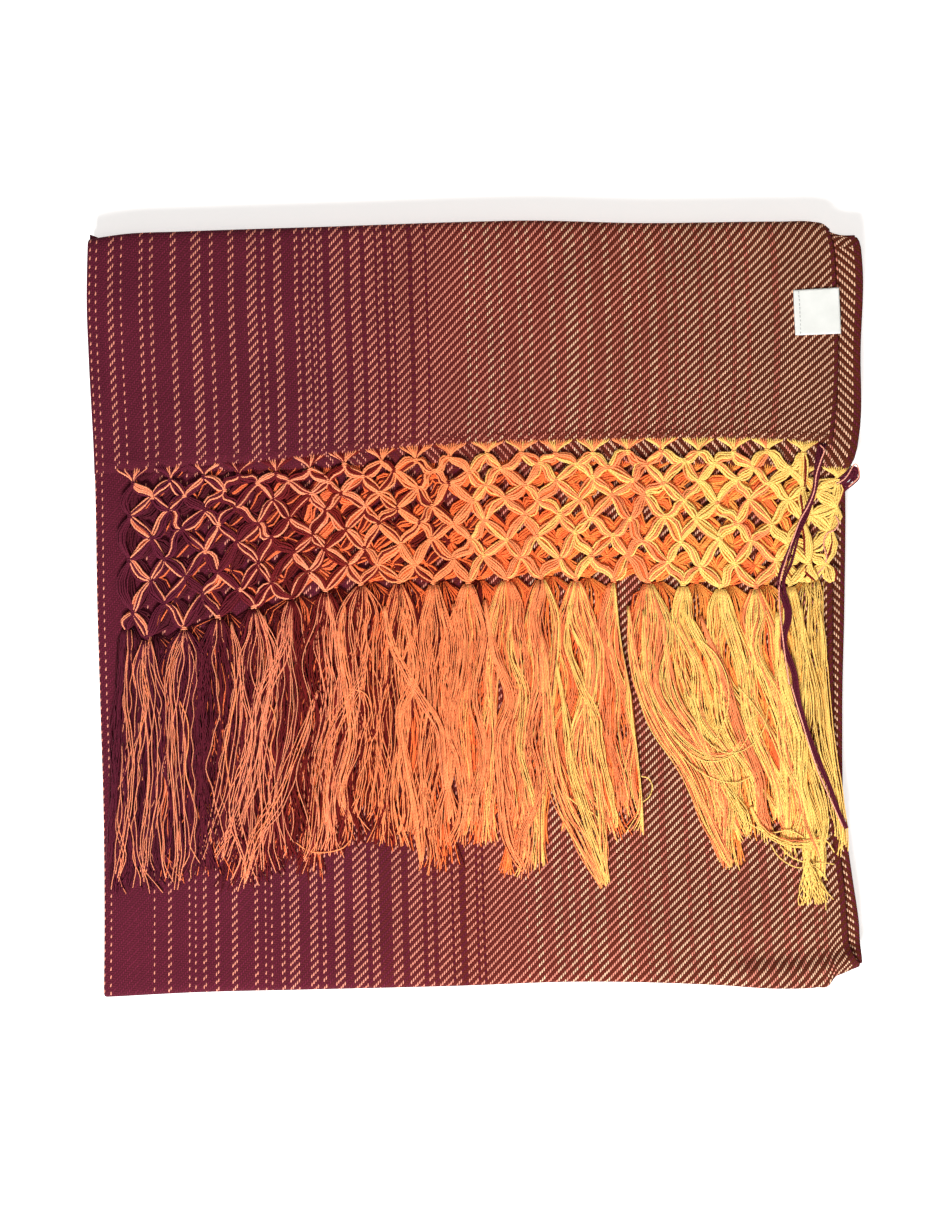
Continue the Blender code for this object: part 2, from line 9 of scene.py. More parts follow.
import bpy
import numpy as np
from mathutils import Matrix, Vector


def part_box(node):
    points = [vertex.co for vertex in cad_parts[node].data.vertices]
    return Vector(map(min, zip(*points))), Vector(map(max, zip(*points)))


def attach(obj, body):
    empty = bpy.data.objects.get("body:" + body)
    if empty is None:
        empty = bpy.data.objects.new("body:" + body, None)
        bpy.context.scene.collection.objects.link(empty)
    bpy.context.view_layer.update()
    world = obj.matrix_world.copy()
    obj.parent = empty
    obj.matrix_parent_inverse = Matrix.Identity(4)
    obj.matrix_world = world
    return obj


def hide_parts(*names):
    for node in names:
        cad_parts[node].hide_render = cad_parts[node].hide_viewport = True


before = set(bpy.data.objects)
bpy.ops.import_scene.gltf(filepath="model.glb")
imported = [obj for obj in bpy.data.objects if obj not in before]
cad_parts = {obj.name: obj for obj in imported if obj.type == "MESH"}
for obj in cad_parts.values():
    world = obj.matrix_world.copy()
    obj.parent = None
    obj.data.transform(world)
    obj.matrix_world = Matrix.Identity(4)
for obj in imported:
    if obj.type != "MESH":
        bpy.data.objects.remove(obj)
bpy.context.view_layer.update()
dice = np.random.default_rng(20)

# Heights, from the frame
PANEL_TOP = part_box("top_panel")[1].z
FLAP_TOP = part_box("end_flap")[1].z

# Cloth thickness, the gap that parts its layers, and what follows for the doubled cloth and its folds
CLOTH = 0.0011
GAP = 0.0003
LAYER = CLOTH + GAP
DOUBLED = 2 * LAYER
MIDDLE_OFFSET = LAYER / 2
FACE_OFFSET = GAP / 2 + CLOTH
FOLD_RADIUS = LAYER
FOLD_REACH = FOLD_RADIUS + FACE_OFFSET
FOLD_TAIL = 0.0015
FOLD_ROOM = FOLD_REACH + FOLD_TAIL + GAP
PANEL_MID = PANEL_TOP - FACE_OFFSET
FLAP_MID = FLAP_TOP - FACE_OFFSET
HIDDEN_PANELS = 5

# The hidden panels' outline: the spans of its grid, what it lies in from the lines at the left and top, how
# far a selvedge and a fold may shift, and how deep a side lies in where it has no fold
CORE_ACROSS = (-0.1840, 0.1790)
CORE_UP = (-0.1880, 0.1880)
CORE_SLACK = 0.0006
SELVEDGE_SHIFT = 0.0030
FOLD_SHIFT = 0.0022
LONE_FOLD = 0.0045

# The weave: ends in half the web's width, and the pitch of its picks
ENDS = 360
SPINE_ENDS = 2
PICK = 0.0010
CORE_PICKS = 400
# Across where the spine lies, and the width of half the web
SPINE = -0.190
HALF_WEB = 0.375

# Lines that run across the packet. Columns: across, up
TOP_FOLD = (
    (-0.1940, 0.1850), (-0.1750, 0.1878), (-0.1475, 0.1890), (-0.0725, 0.1915), (0.0000, 0.1940),
    (0.0225, 0.1945), (0.0825, 0.1933), (0.1525, 0.1940), (0.1690, 0.1939), (0.1742, 0.1928),
    (0.1772, 0.1904),
    (0.1800, 0.1893), (0.1940, 0.1886),
)
BOTTOM_FOLD = (
    (-0.1860, -0.1945), (-0.1375, -0.1920), (-0.0875, -0.1908), (-0.0075, -0.1888), (0.0500, -0.1868),
    (0.1225, -0.1885), (0.1525, -0.1903), (0.1720, -0.1896), (0.1772, -0.1888), (0.1802, -0.1846),
    (0.1840, -0.1828), (0.1940, -0.1785),
)
CORE_BOTTOM = (
    (-0.1860, -0.1935), (-0.0875, -0.1900), (0.0500, -0.1862), (0.1525, -0.1897), (0.1790, -0.1895),
)
WOVEN_END_UPPER = (
    (-0.1910, 0.0675), (-0.1625, 0.0700), (-0.1125, 0.0730), (-0.0725, 0.0770), (-0.0025, 0.0825),
    (0.0625, 0.0840), (0.1525, 0.0840), (0.1810, 0.0820),
)
WOVEN_END_UNDER = ((-0.1910, 0.0675), (-0.1000, 0.0695), (0.0000, 0.0735), (0.1000, 0.0725), (0.1900, 0.0700))
LAST_KNOTS = (
    (-0.1650, -0.0140), (-0.1200, -0.0020), (-0.0800, 0.0090), (0.0000, 0.0145), (0.0600, 0.0155),
    (0.1100, 0.0120), (0.1800, 0.0130),
)

# Lines that run up the packet. Columns: up, across
LEFT_SIDE = (
    (-0.1945, -0.1858), (-0.1455, -0.1855), (-0.0955, -0.1860), (-0.0455, -0.1875), (0.0045, -0.1890),
    (0.0795, -0.1905), (0.1295, -0.1930), (0.1595, -0.1940), (0.1945, -0.1935),
)
PANEL_SIDE_UPPER = (
    (-0.1785, 0.1925), (-0.1630, 0.1880), (-0.1355, 0.1855), (-0.1000, 0.1812), (-0.0455, 0.1797),
    (0.0600, 0.1800), (0.1900, 0.1900),
)
# Where the panel's last end would lie if its stripes ran on evenly: only its outer ends follow the side
PANEL_STRIPES = ((-0.1885, 0.1895), (-0.1450, 0.1860), (-0.1000, 0.1840), (0.0000, 0.1835), (0.1900, 0.1850))
PANEL_SIDE_UNDER = (
    (-0.1785, 0.1938), (-0.1505, 0.1925), (-0.1255, 0.1890), (-0.1005, 0.1855), (-0.0455, 0.1840),
    (0.0045, 0.1850), (0.0600, 0.1855), (0.1900, 0.1770),
)
FLAP_SIDE_UPPER = (
    (0.0820, 0.1785), (0.1045, 0.1808), (0.1345, 0.1815), (0.1595, 0.1805), (0.1795, 0.1792),
    (0.1900, 0.1770),
)
FLAP_SIDE_UNDER = (
    (0.0695, 0.1870), (0.0755, 0.1900), (0.0845, 0.1918), (0.1295, 0.1928), (0.1720, 0.1936),
    (0.1820, 0.1925), (0.1900, 0.1900),
)
CORE_RIGHT = ((-0.1900, 0.1800), (-0.1200, 0.1815), (0.0000, 0.1822), (0.1000, 0.1835), (0.1900, 0.1810))

# Across where the folds' right corners start, and the power of the share of the way to a fold that bends the
# picks to its corner
CORNER_START = 0.165
CORNER_HOLD = 26

# Heights up the packet where the cloth's sides meet its folds and its woven end
FOLD_UP = 0.1900
UPPER_CORNER = 0.0820
UNDER_CORNER = 0.0695
RIGHT_CORNER = -0.1785
LEFT_CORNER = -0.1900

# Soft relief of the whole packet. Columns: from across, up; to across, up; half width; rise at the top
CREASES = (
    (0.176, -0.1720, 0.194, -0.1650, 0.0060, -0.00260),
    (0.141, -0.1742, 0.163, -0.1734, 0.0060, -0.00260),
    (0.104, -0.1740, 0.127, -0.1740, 0.0062, -0.00080),
    (0.174, -0.1792, 0.192, -0.1733, 0.0038, 0.00240),
    (0.133, -0.1808, 0.166, -0.1800, 0.0038, 0.00240),
    (0.186, -0.1640, 0.182, -0.0950, 0.0055, -0.00090),
    (0.168, -0.1500, 0.170, -0.1000, 0.0100, 0.00050),
    (-0.188, -0.1600, -0.181, 0.0500, 0.0060, 0.00045),
    (-0.170, -0.1620, -0.060, -0.1500, 0.0200, -0.00050),
    (-0.050, -0.1700, 0.090, -0.1560, 0.0180, 0.00045),
    (0.020, -0.1480, 0.140, -0.1390, 0.0120, -0.00040),
    (-0.185, 0.1500, -0.080, 0.1560, 0.0160, 0.00050),
    (-0.100, 0.1230, 0.050, 0.1180, 0.0200, -0.00055),
    (0.040, 0.1520, 0.150, 0.1600, 0.0150, 0.00050),
    (0.090, 0.1120, 0.185, 0.1050, 0.0140, -0.00040),
    (-0.170, 0.0950, -0.090, 0.1000, 0.0120, 0.00040),
    (0.183, 0.0800, 0.186, 0.1200, 0.0050, -0.00060),
)
EDGE_DROP = 0.0011
EDGE_WIDTH = 0.0075

# Light stripes of each half of the web, counted in ends from the spine fold. Columns: first end, last end
STRIPES_FIRST_HALF = (
    (0, 0), (3, 3), (9, 11), (15, 15), (24, 25), (29, 30), (39, 41), (49, 53), (58, 59), (67, 69), (76, 80),
    (83, 84), (89, 92), (99, 100), (103, 105), (107, 108), (110, 112), (116, 122), (126, 130), (133, 137),
    (139, 141), (144, 145), (147, 153), (156, 161), (163, 357),
)
STRIPES_SECOND_HALF = (
    (2, 2), (23, 23), (30, 31), (40, 40), (43, 43), (47, 48), (53, 54), (61, 63), (72, 73), (77, 77),
    (80, 80),
    (85, 86), (89, 93), (99, 102), (105, 106), (111, 115), (120, 126), (129, 132), (139, 143), (147, 153),
    (156, 158), (161, 167), (169, 171), (175, 179), (181, 182), (184, 356),
)
# Ends within the light stripes that are cream, where the rest are orange
CREAM_FIRST_HALF = (
    (181, 182), (185, 185), (191, 193), (197, 198), (206, 207), (211, 212), (221, 223), (229, 234),
    (239, 241),
    (248, 250), (257, 260), (264, 264), (269, 272), (278, 280), (283, 285), (287, 292), (295, 300),
    (303, 308),
    (311, 315), (318, 328), (332, 357),
)
CREAM_SECOND_HALF = (
    (204, 204), (209, 211), (218, 221), (225, 227), (231, 234), (238, 242), (249, 252), (254, 255),
    (262, 262),
    (265, 270), (274, 282), (285, 292), (295, 303), (305, 307), (314, 318), (323, 328), (332, 334),
    (338, 343),
    (346, 347), (350, 356),
)
# Tones of the three yarns, in the cloth and in the fringe, and darker copies of the fringe's tones that paint
# shade on yarns lying beneath or low
WOVEN_TONES = {"plum": (0.138, 0.0135, 0.0345), "orange": (0.74, 0.265, 0.190), "cream": (0.86, 0.500, 0.330)}
FRINGE_TONES = {"plum": (0.112, 0.0110, 0.027), "orange": (0.95, 0.295, 0.112), "cream": (0.98, 0.645, 0.178)}
SHADED_TONES = {"plum": (0.080, 0.0075, 0.016), "orange": (0.92, 0.175, 0.045), "cream": (0.95, 0.420, 0.085)}
WEFT_SHADES = (
    (0, (0.110, 0.0120, 0.026)), (110, (0.112, 0.0130, 0.022)), (180, (0.135, 0.0160, 0.012)),
    (250, (0.125, 0.0180, 0.0085)), (359, (0.105, 0.0200, 0.0080)),
)
PINK_YARN = (0.95, 0.400, 0.290)
# How the fringe's plum differs away from the left side, warmed there by painted light bounced off the orange
# yarns, and its orange at it, and the ends of each net where its cream grows yellow
BOUNCE_WARMED_PLUM = (1.70, 1.10, 0.32)
LEFT_ORANGE = (0.97, 1.04, 1.45)
YELLOWS = {"upper": (125, 285), "under": (250, 340)}

# The knotted nets: 20 warp groups, 8 rows of knots, odd rows on the groups and even rows between them
GROUPS = 20
ROWS = 8
ROW_GROWTH = 1.2
GROUP_ENDS = ENDS // GROUPS
HEADER_GAP = 0.0008
HEADER_DEPTH = 0.0012
FIRST_KNOT_DROP = 0.0042
JITTER = 0.0007
SLACK = 0.0015
UNDER_NET_LIFT = 0.0016
EDGE_LOOP_BULGE = {-1.0: 0.0040, 1.0: 0.0010}
EDGE_TAIL = (0.0035, 0.0085)
KNOT_REACH = 0.0015
# Columns: net, across at the first group and step between groups, in the first row and in the last row
NET_SPREAD = {
    "upper": (-0.1700, 0.01758, -0.1724, 0.01786),
    "under": (-0.1680, 0.01840, -0.1690, 0.01800),
}
NET_LEVEL = {"upper": PANEL_TOP + 0.0029, "under": PANEL_TOP + 0.0011}
HEADER_LEVEL = {"upper": FLAP_MID + MIDDLE_OFFSET, "under": FLAP_MID - MIDDLE_OFFSET}
WOVEN_ENDS = {"upper": WOVEN_END_UPPER, "under": WOVEN_END_UNDER}
LEAF_WIDTH = {"upper": 0.00215, "under": 0.00280}
YARN_RADIUS = 0.00042
NET_RADIUS = 0.00056
LEAF_BODY = 0.00150
# Half width and body radius of a leaf at its knots
NECK_WIDTH = 0.00075
NECK_BODY = 0.0004
# How each net is made. Columns: strands in front and behind, steps down a leaf, sides of a yarn
NET_MAKE = {"under": (6, 1, 6, 4), "upper": (5, 2, 8, 4)}

# The tassels. Columns: across and up at each one's tip, from the left side of the fringe to the right
TASSEL_TIPS = (
    (-0.1810, -0.1390), (-0.1650, -0.1385), (-0.1475, -0.1350), (-0.1300, -0.1290), (-0.1150, -0.1370),
    (-0.0960, -0.1315), (-0.0775, -0.1310), (-0.0620, -0.1150), (-0.0435, -0.1170), (-0.0235, -0.1285),
    (-0.0060, -0.1160), (0.0115, -0.1150), (0.0258, -0.1300), (0.0550, -0.1120), (0.0780, -0.1095),
    (0.1210, -0.1260), (0.1350, -0.1120), (0.1490, -0.1150), (0.1620, -0.1220), (0.1705, -0.1440),
    (0.1855, -0.1210),
)

# Tassels with a habit of their own. By number: how late it sweeps to its tip, and its share of the lane
TASSEL_HABITS = {
    0: (0.0, 0.45), 15: (1.0, 1.0), 16: (0.7, 1.0), 17: (0.5, 1.0), 18: (0.3, 1.0), 20: (0.0, 0.55),
}
GATHERED_TASSEL = 19
SPARSE_TASSELS = 8
# How each net's share of a tassel is made. Columns: locks, steps down them, sides of a yarn, and the heights
# of its lowest and highest strands above the panel
TASSEL_MAKE = {"under": (3, 20, 3, 0.0006, 0.0014), "upper": (4, 36, 3, 0.0014, 0.0034)}
# Strands in each under and upper lock, and where a tassel is thinner than the rest
TASSEL_STRANDS = (11, 14)
TASSEL_FULLNESS = {0: (7, 9), 18: (11, 13), 19: (5, 8), 20: (1, 2)}
TASSEL_ENDS = (4, 356)
# Across where the tassels stop at the left, and the line up the packet where they stop at the right
FRINGE_LEFT = -0.1843
FRINGE_RIGHT = (
    (-0.1450, 0.1835), (-0.1130, 0.1870), (-0.0954, 0.1847), (-0.0704, 0.1806), (-0.0454, 0.1778),
    (-0.0154, 0.1760), (0.0200, 0.1755),
)
# The bare wedge between two tassels: the number of the one right of it, and its sides as lines up the packet
PARTED_TASSEL = 15
PARTING_LEFT = (
    (-0.1300, 0.0850), (-0.1074, 0.0843), (-0.0719, 0.0812), (-0.0464, 0.0786),
    (-0.0154, 0.0728), (0.0200, 0.0700),
)
PARTING_RIGHT = (
    (-0.1300, 0.1240), (-0.1004, 0.1110), (-0.0799, 0.1020), (-0.0514, 0.0841),
    (-0.0204, 0.0766), (0.0200, 0.0735),
)
EDGE_SQUEEZE = 0.0025

# Drawn yarns: places in the photograph's pixels and millimetres above the panel, and where a bundle
# has them, half widths down it and the number of its strands
PLUM_BUNDLES = (
    (
        ((822, 444, 3.4), (818, 462, 4.6), (813, 492, 4.8), (804, 514, 4.9), (796, 534, 4.7), (786, 562, 4.6),
         (780, 584, 4.6), (788, 614, 4.6), (783, 642, 4.6), (793, 672, 4.4), (797, 704, 4.4), (808, 738, 4.5),
         (819, 764, 4.4), (831, 792, 4.2), (838, 812, 3.8), (846, 828, 2.6)),
        (0.0016, 0.0016, 0.0009, 0.0016, 0.0009, 0.0023, 0.0018, 0.0016, 0.0012, 0.0010, 0.0012, 0.0010,
         0.0011, 0.0009, 0.0009, 0.0007),
        8,
    ),
    (
        ((836, 484, 1.4), (845, 478, 2.2), (853, 470, 2.4), (854, 477, 2.0), (846, 485, 1.4),
         (839, 494, 0.8)),
        (0.0010, 0.0020, 0.0018, 0.0020, 0.0014),
        14,
    ),
)
PINK_THREADS = (
    ((819, 445, 3.6), (823, 451, 4.6), (819, 462, 5.0), (815, 476, 5.2), (813, 491, 5.3), (807, 506, 5.4),
     (799, 520, 5.2), (793, 536, 5.0), (785, 560, 5.0), (778, 590, 5.0), (782, 640, 5.0), (788, 684, 4.8)),
    ((835, 516, 2.6), (838, 523, 2.8), (834, 530, 2.8), (826, 534, 2.6), (823, 545, 2.4), (826, 556, 2.2),
     (824, 566, 2.2), (817, 574, 2.4), (818, 586, 2.2)),
    ((836, 484, 2.2), (845, 478, 3.0), (853, 465, 3.3), (857, 467, 3.2), (858, 477, 2.9), (848, 487, 2.2)),
    ((790, 684, 4.8), (801, 722, 4.9), (816, 768, 4.8), (833, 806, 4.3), (842, 826, 3.0)),
)
STRAYS = (
    ((694, 716, 4.0), (704, 738, 4.2), (724, 752, 4.3), (746, 748, 4.3), (762, 730, 4.3), (768, 704, 4.0)),
    ((737, 686, 4.0), (751, 702, 4.3), (764, 722, 4.4), (776, 750, 4.2), (787, 776, 3.6)),
    ((757, 812, 2.4), (762, 826, 2.8), (778, 838, 3.0), (802, 843, 3.0), (824, 840, 2.6), (834, 852, 1.6)),
    ((652, 704, 3.6), (664, 732, 4.0), (684, 758, 4.2), (708, 776, 4.2), (736, 782, 4.2), (760, 770, 4.0)),
    ((662, 716, 3.6), (678, 742, 4.2), (702, 760, 4.4), (730, 756, 4.4), (748, 734, 4.2), (752, 704, 4.0)),
    ((700, 640, 4.2), (716, 656, 4.4), (727, 682, 4.5), (726, 712, 4.4), (714, 742, 4.0)),
    ((560, 780, 3.4), (566, 794, 3.6), (580, 806, 3.6), (596, 816, 3.2), (604, 838, 2.0)),
    ((641, 776, 1.8), (648, 778, 2.6), (652, 786, 2.6), (649, 796, 2.4), (641, 803, 1.6)),
    ((496, 742, 3.4), (500, 764, 3.8), (508, 790, 3.8), (519, 818, 3.2), (523, 850, 1.8)),
    ((344, 712, 3.4), (347, 698, 3.8), (356, 690, 4.0), (367, 695, 4.0), (372, 710, 3.8), (374, 728, 3.2)),
    ((268, 700, 3.4), (275, 714, 3.8), (275, 732, 3.8), (271, 748, 3.8), (276, 766, 3.2)),
    ((180, 700, 3.0), (188, 720, 3.4), (189, 744, 3.4), (186, 770, 3.4), (195, 800, 2.4)),
    ((232, 662, 3.4), (237, 690, 3.8), (232, 718, 3.8), (226, 748, 3.8), (231, 790, 2.8)),
    ((296, 842, 2.0), (308, 850, 2.6), (324, 852, 2.8), (342, 848, 2.4), (352, 838, 1.4)),
    ((780, 846, 2.4), (790, 856, 3.2), (804, 862, 3.4), (817, 868, 2.8), (827, 880, 1.6)),
    ((770, 844, 2.2), (780, 858, 3.0), (798, 867, 3.4), (818, 862, 3.2), (834, 864, 1.6)),
    ((735, 806, 2.8), (748, 822, 3.0), (768, 832, 3.2), (788, 830, 3.4), (804, 838, 3.0), (812, 850, 2.4)),
    ((415, 770, 3.8), (421, 790, 4.0), (430, 808, 4.0), (434, 832, 3.0)),
    ((150, 640, 3.0), (144, 668, 3.2), (149, 700, 3.4), (141, 736, 3.4), (143, 780, 2.8)),
)

# Drawn locks of the tassels that lie on top: places in the photograph's pixels, half widths down the
# lock in pixels, strands and tone
TOP_LOCKS = (
    (((570, 606), (567, 644), (582, 686), (595, 715), (600, 750), (612, 800), (616, 828)),
     (1, 3, 4, 4, 3, 2), 8, "cream"),
    (((512, 606), (511, 652), (524, 694), (520, 748), (532, 798), (539, 842)),
     (1, 3, 4, 3, 3, 2), 8, "cream"),
    (((485, 600), (494, 652), (510, 698), (499, 736), (501, 780), (508, 838), (525, 872)),
     (1, 4, 5, 4, 5, 6, 2), 13, "orange"),
    (((541, 632), (546, 690), (550, 750), (562, 802), (584, 846), (604, 888)),
     (1, 4, 7, 8, 7, 2.5), 20, "both"),
    (((556, 660), (566, 720), (572, 770), (588, 820), (600, 856), (608, 886)),
     (1, 3, 5, 5, 4, 2), 10, "cream"),
    (((590, 640), (586, 700), (592, 760), (600, 810), (603, 850), (606, 880)),
     (1, 3, 5, 5, 4, 2), 9, "both"),
    (((628, 606), (632, 650), (641, 690), (658, 730), (687, 775), (708, 822), (724, 854), (731, 867)),
     (1, 3, 4, 5, 5, 5, 4, 2), 16, "both"),
    (((643, 610), (646, 670), (661, 712), (688, 745), (720, 757), (742, 738), (747, 706)),
     (1, 3, 4, 4, 3, 2, 1), 8, "both"),
    (((662, 616), (672, 690), (694, 730), (712, 768), (718, 800), (738, 832)),
     (1, 4, 5, 5, 4, 3), 12, "both"),
    (((700, 616), (724, 680), (738, 728), (757, 775), (762, 812), (770, 838)),
     (1, 4, 5, 5, 4, 3), 12, "orange"),
    (((690, 690), (706, 750), (728, 790), (744, 818), (748, 834)),
     (2, 4, 5, 4, 2), 10, "cream"),
    (((776, 612), (778, 660), (786, 698), (799, 738), (800, 778), (808, 822), (806, 862)),
     (1, 4, 5, 6, 6, 5, 3), 18, "cream"),
    (((750, 806), (762, 828), (782, 841), (806, 843), (830, 834)),
     (1, 2, 3, 3, 1), 6, "both"),
    (((800, 606), (803, 640), (814, 690), (820, 740), (833, 790), (842, 850)),
     (1, 2, 4, 4, 4, 4), 6, "cream"),
    (((818, 598), (822, 622), (833, 648), (837, 668)),
     (1, 2, 2, 1), 4, "cream"),
    (((806, 838), (806, 860), (809, 880), (814, 905)),
     (5, 2.5, 8, 15), 22, "cream"),
    (((401, 606), (412, 648), (414, 680), (400, 715), (406, 762), (416, 812), (422, 866)),
     (1, 4, 5, 5, 4, 4, 2), 12, "orange"),
    (((385, 606), (391, 640), (404, 669), (424, 702), (441, 732), (445, 780), (452, 828)),
     (1, 4, 4, 4, 4, 4, 3), 10, "orange"),
    (((453, 604), (459, 640), (456, 680), (449, 727), (461, 769), (468, 822)),
     (1, 4, 5, 4, 4, 3), 11, "orange"),
    (((345, 600), (341, 640), (348, 690), (352, 740), (341, 790), (352, 826)),
     (1, 4, 5, 5, 4, 3), 12, "orange"),
    (((368, 640), (360, 680), (334, 727), (322, 777), (313, 836), (303, 860)),
     (1, 5, 7, 8, 6, 3), 6, "orange"),
    (((318, 690), (300, 745), (279, 798), (256, 838), (243, 884)),
     (1, 5, 8, 7, 3), 6, "orange"),
    (((291, 612), (286, 650), (262, 700), (256, 760), (236, 820), (222, 864)),
     (0.5, 5, 8, 8, 6, 3), 5, "orange"),
    (((264, 616), (271, 660), (262, 706), (250, 760), (240, 812), (214, 858)),
     (0.5, 5, 6, 7, 6, 3), 4, "orange"),
    (((232, 622), (240, 668), (236, 715), (222, 798), (202, 860)),
     (0.5, 5, 6, 6, 3), 4, "orange"),
    (((187, 632), (172, 673), (173, 720), (174, 757), (181, 840), (176, 890)),
     (0.5, 4, 5, 5, 5, 3), 4, "orange"),
    (((151, 634), (142, 673), (149, 715), (153, 777), (146, 840), (143, 884)),
     (0.5, 4, 5, 5, 5, 2), 4, "orange"),
    (((128, 650), (126, 700), (133, 760), (128, 820), (114, 886)),
     (0.5, 2, 3, 3, 2), 3, "orange"),
)
TOP_LOCK_STEPS = 36
# Ends on either side of a top lock's own that lend it their colours
TOP_LOCK_ENDS = 25

# The sewn label
LABEL_WIDTH = 0.0226
LABEL_HEIGHT = 0.0228
LABEL_THICKNESS = 0.00035
LABEL_CENTRE = (0.1707, 0.1484)
LABEL_TILT = math.radians(2.6)

# The photograph's frame: its size in pixels, the size of one on the packet, and the packet's middle in it
PHOTO_SIZE = (940, 1215)
PIXEL = 0.0005
PACKET_MIDDLE = (474.75, 609.25)
CAMERA_HEIGHT = 1.35
SENSOR = 36.0

# The floor's reach from the middle and how far it lies below the packet, and the card's own light
FLOOR_REACH = 9.0
FLOOR_DROP = 0.0001
CARD_GLOW = 0.52
# Lamps, each turned to the packet's middle. Columns: name, place, size, watts, colour
LAMPS = (
    ("window", (-0.25, -1.15, 1.30), 0.5, 46.0, (1.0, 1.0, 1.0)),
    ("fill", (0.4, 0.2, 2.0), 1.4, 11.0, (1.0, 0.93, 0.86)),
)
SURROUND = (1.0, 0.97, 0.94, 1.0)
SURROUND_STRENGTH = 0.20


def line_at(line, position):
    """Height of a smooth line through a table's rows: in each span, the cubic whose ends have the rows'
    heights and the averaged slopes of their neighbours."""
    rows = np.array(line, float)
    places, heights = rows[:, 0], rows[:, 1]
    slopes = np.gradient(heights, places)
    position = np.clip(position, places[0], places[-1])
    span = np.clip(np.searchsorted(places, position) - 1, 0, len(places) - 2)
    width = places[span + 1] - places[span]
    t = (position - places[span]) / width
    start = (1 + 2 * t) * (1 - t) ** 2 * heights[span] + t * (1 - t) ** 2 * width * slopes[span]
    return start + t * t * (3 - 2 * t) * heights[span + 1] + t * t * (t - 1) * width * slopes[span + 1]


def fold_at(line, across, share):
    """A fold's line as the picks on the way to it see it: it runs straight on past the corner's start, and
    its corner comes in as share^hold, where share is how far along the way they lie."""
    even = line_at(line, np.minimum(across, CORNER_START))
    return even + (line_at(line, across) - even) * share**CORNER_HOLD


def end_at(across):
    """Number of the end at a place across, as the ends spread evenly over half the web from its spine."""
    return (across - SPINE) / HALF_WEB * ENDS


def smooth(t):
    """3t^2 - 2t^3, held at 0 and 1 outside the span."""
    t = np.clip(t, 0, 1)
    return t * t * (3 - 2 * t)


def relief(across, up):
    """Rise of the packet's top: the sum of each crease's height times exp(-(distance / half width)^2), and
    a drop near each edge that grows with the square of how far a point lies into the edge's width."""
    rise = np.zeros_like(across)
    for start_x, start_y, end_x, end_y, width, height in CREASES:
        run_x, run_y = end_x - start_x, end_y - start_y
        share = ((across - start_x) * run_x + (up - start_y) * run_y) / (run_x**2 + run_y**2)
        share = np.clip(share, 0, 1)
        distance = np.hypot(across - start_x - share * run_x, up - start_y - share * run_y)
        rise += height * np.exp(-((distance / width) ** 2))
    insets = (
        line_at(TOP_FOLD, across) - up,
        up - line_at(BOTTOM_FOLD, across),
        across - line_at(LEFT_SIDE, up),
    )
    for inset in insets:
        rise -= EDGE_DROP * np.clip(1 - inset / EDGE_WIDTH, 0, 1.2) ** 2
    return rise


def settled(points):
    """Points of the stack with the packet's relief, which fades to nothing at the floor as height^1.5."""
    points = np.array(points, float)
    share = np.clip(points[..., 2] / PANEL_TOP, 0, 1.3) ** 1.5
    points[..., 2] += relief(points[..., 0], points[..., 1]) * share
    return points


def new_piece(name, points, polygons, finish, corner_uv=None, corner_colour=None):
    """A named mesh from points and blocks of polygons (each block a whole array, one row a polygon), with a
    UV map and a colour for each corner, in the order of the polygons' corners."""
    mesh = bpy.data.meshes.new(name)
    points = np.asarray(points, np.float32).reshape(-1, 3)
    corners = np.concatenate([block.ravel() for block in polygons]).astype(np.int32)
    sizes = np.concatenate([np.full(len(block), block.shape[1]) for block in polygons])
    starts = np.concatenate([[0], np.cumsum(sizes)[:-1]]).astype(np.int32)
    mesh.vertices.add(len(points))
    mesh.vertices.foreach_set("co", points.ravel())
    mesh.loops.add(len(corners))
    mesh.loops.foreach_set("vertex_index", corners)
    mesh.polygons.add(len(sizes))
    mesh.polygons.foreach_set("loop_start", starts)
    mesh.update(calc_edges=True)
    mesh.shade_smooth()
    if corner_uv is not None:
        uv_map = mesh.uv_layers.new(name="weave")
        uv_map.data.foreach_set("uv", np.asarray(corner_uv, np.float32).ravel())
    if corner_colour is not None:
        dye = mesh.color_attributes.new("dye", "FLOAT_COLOR", "CORNER")
        solid = np.ones((len(corners), 4), np.float32)
        solid[:, :3] = corner_colour
        dye.data.foreach_set("color", solid.ravel())
    mesh.validate()
    piece = bpy.data.objects.new(name, mesh)
    bpy.context.scene.collection.objects.link(piece)
    mesh.materials.append(finish)
    return piece


def grid_quads(rows, columns, first=0):
    """Quads of a grid of points stored row by row, as an array of four corners each."""
    index = first + np.arange(rows * columns).reshape(rows, columns)
    return np.stack([index[:-1, :-1], index[:-1, 1:], index[1:, 1:], index[1:, :-1]], -1).reshape(-1, 4)


def grid_corners(values):
    """Values of a grid's points, one row for each corner of its quads, in the order of grid_quads."""
    corners = np.stack([values[:-1, :-1], values[:-1, 1:], values[1:, 1:], values[1:, :-1]], 2)
    return corners.reshape(-1, values.shape[-1])


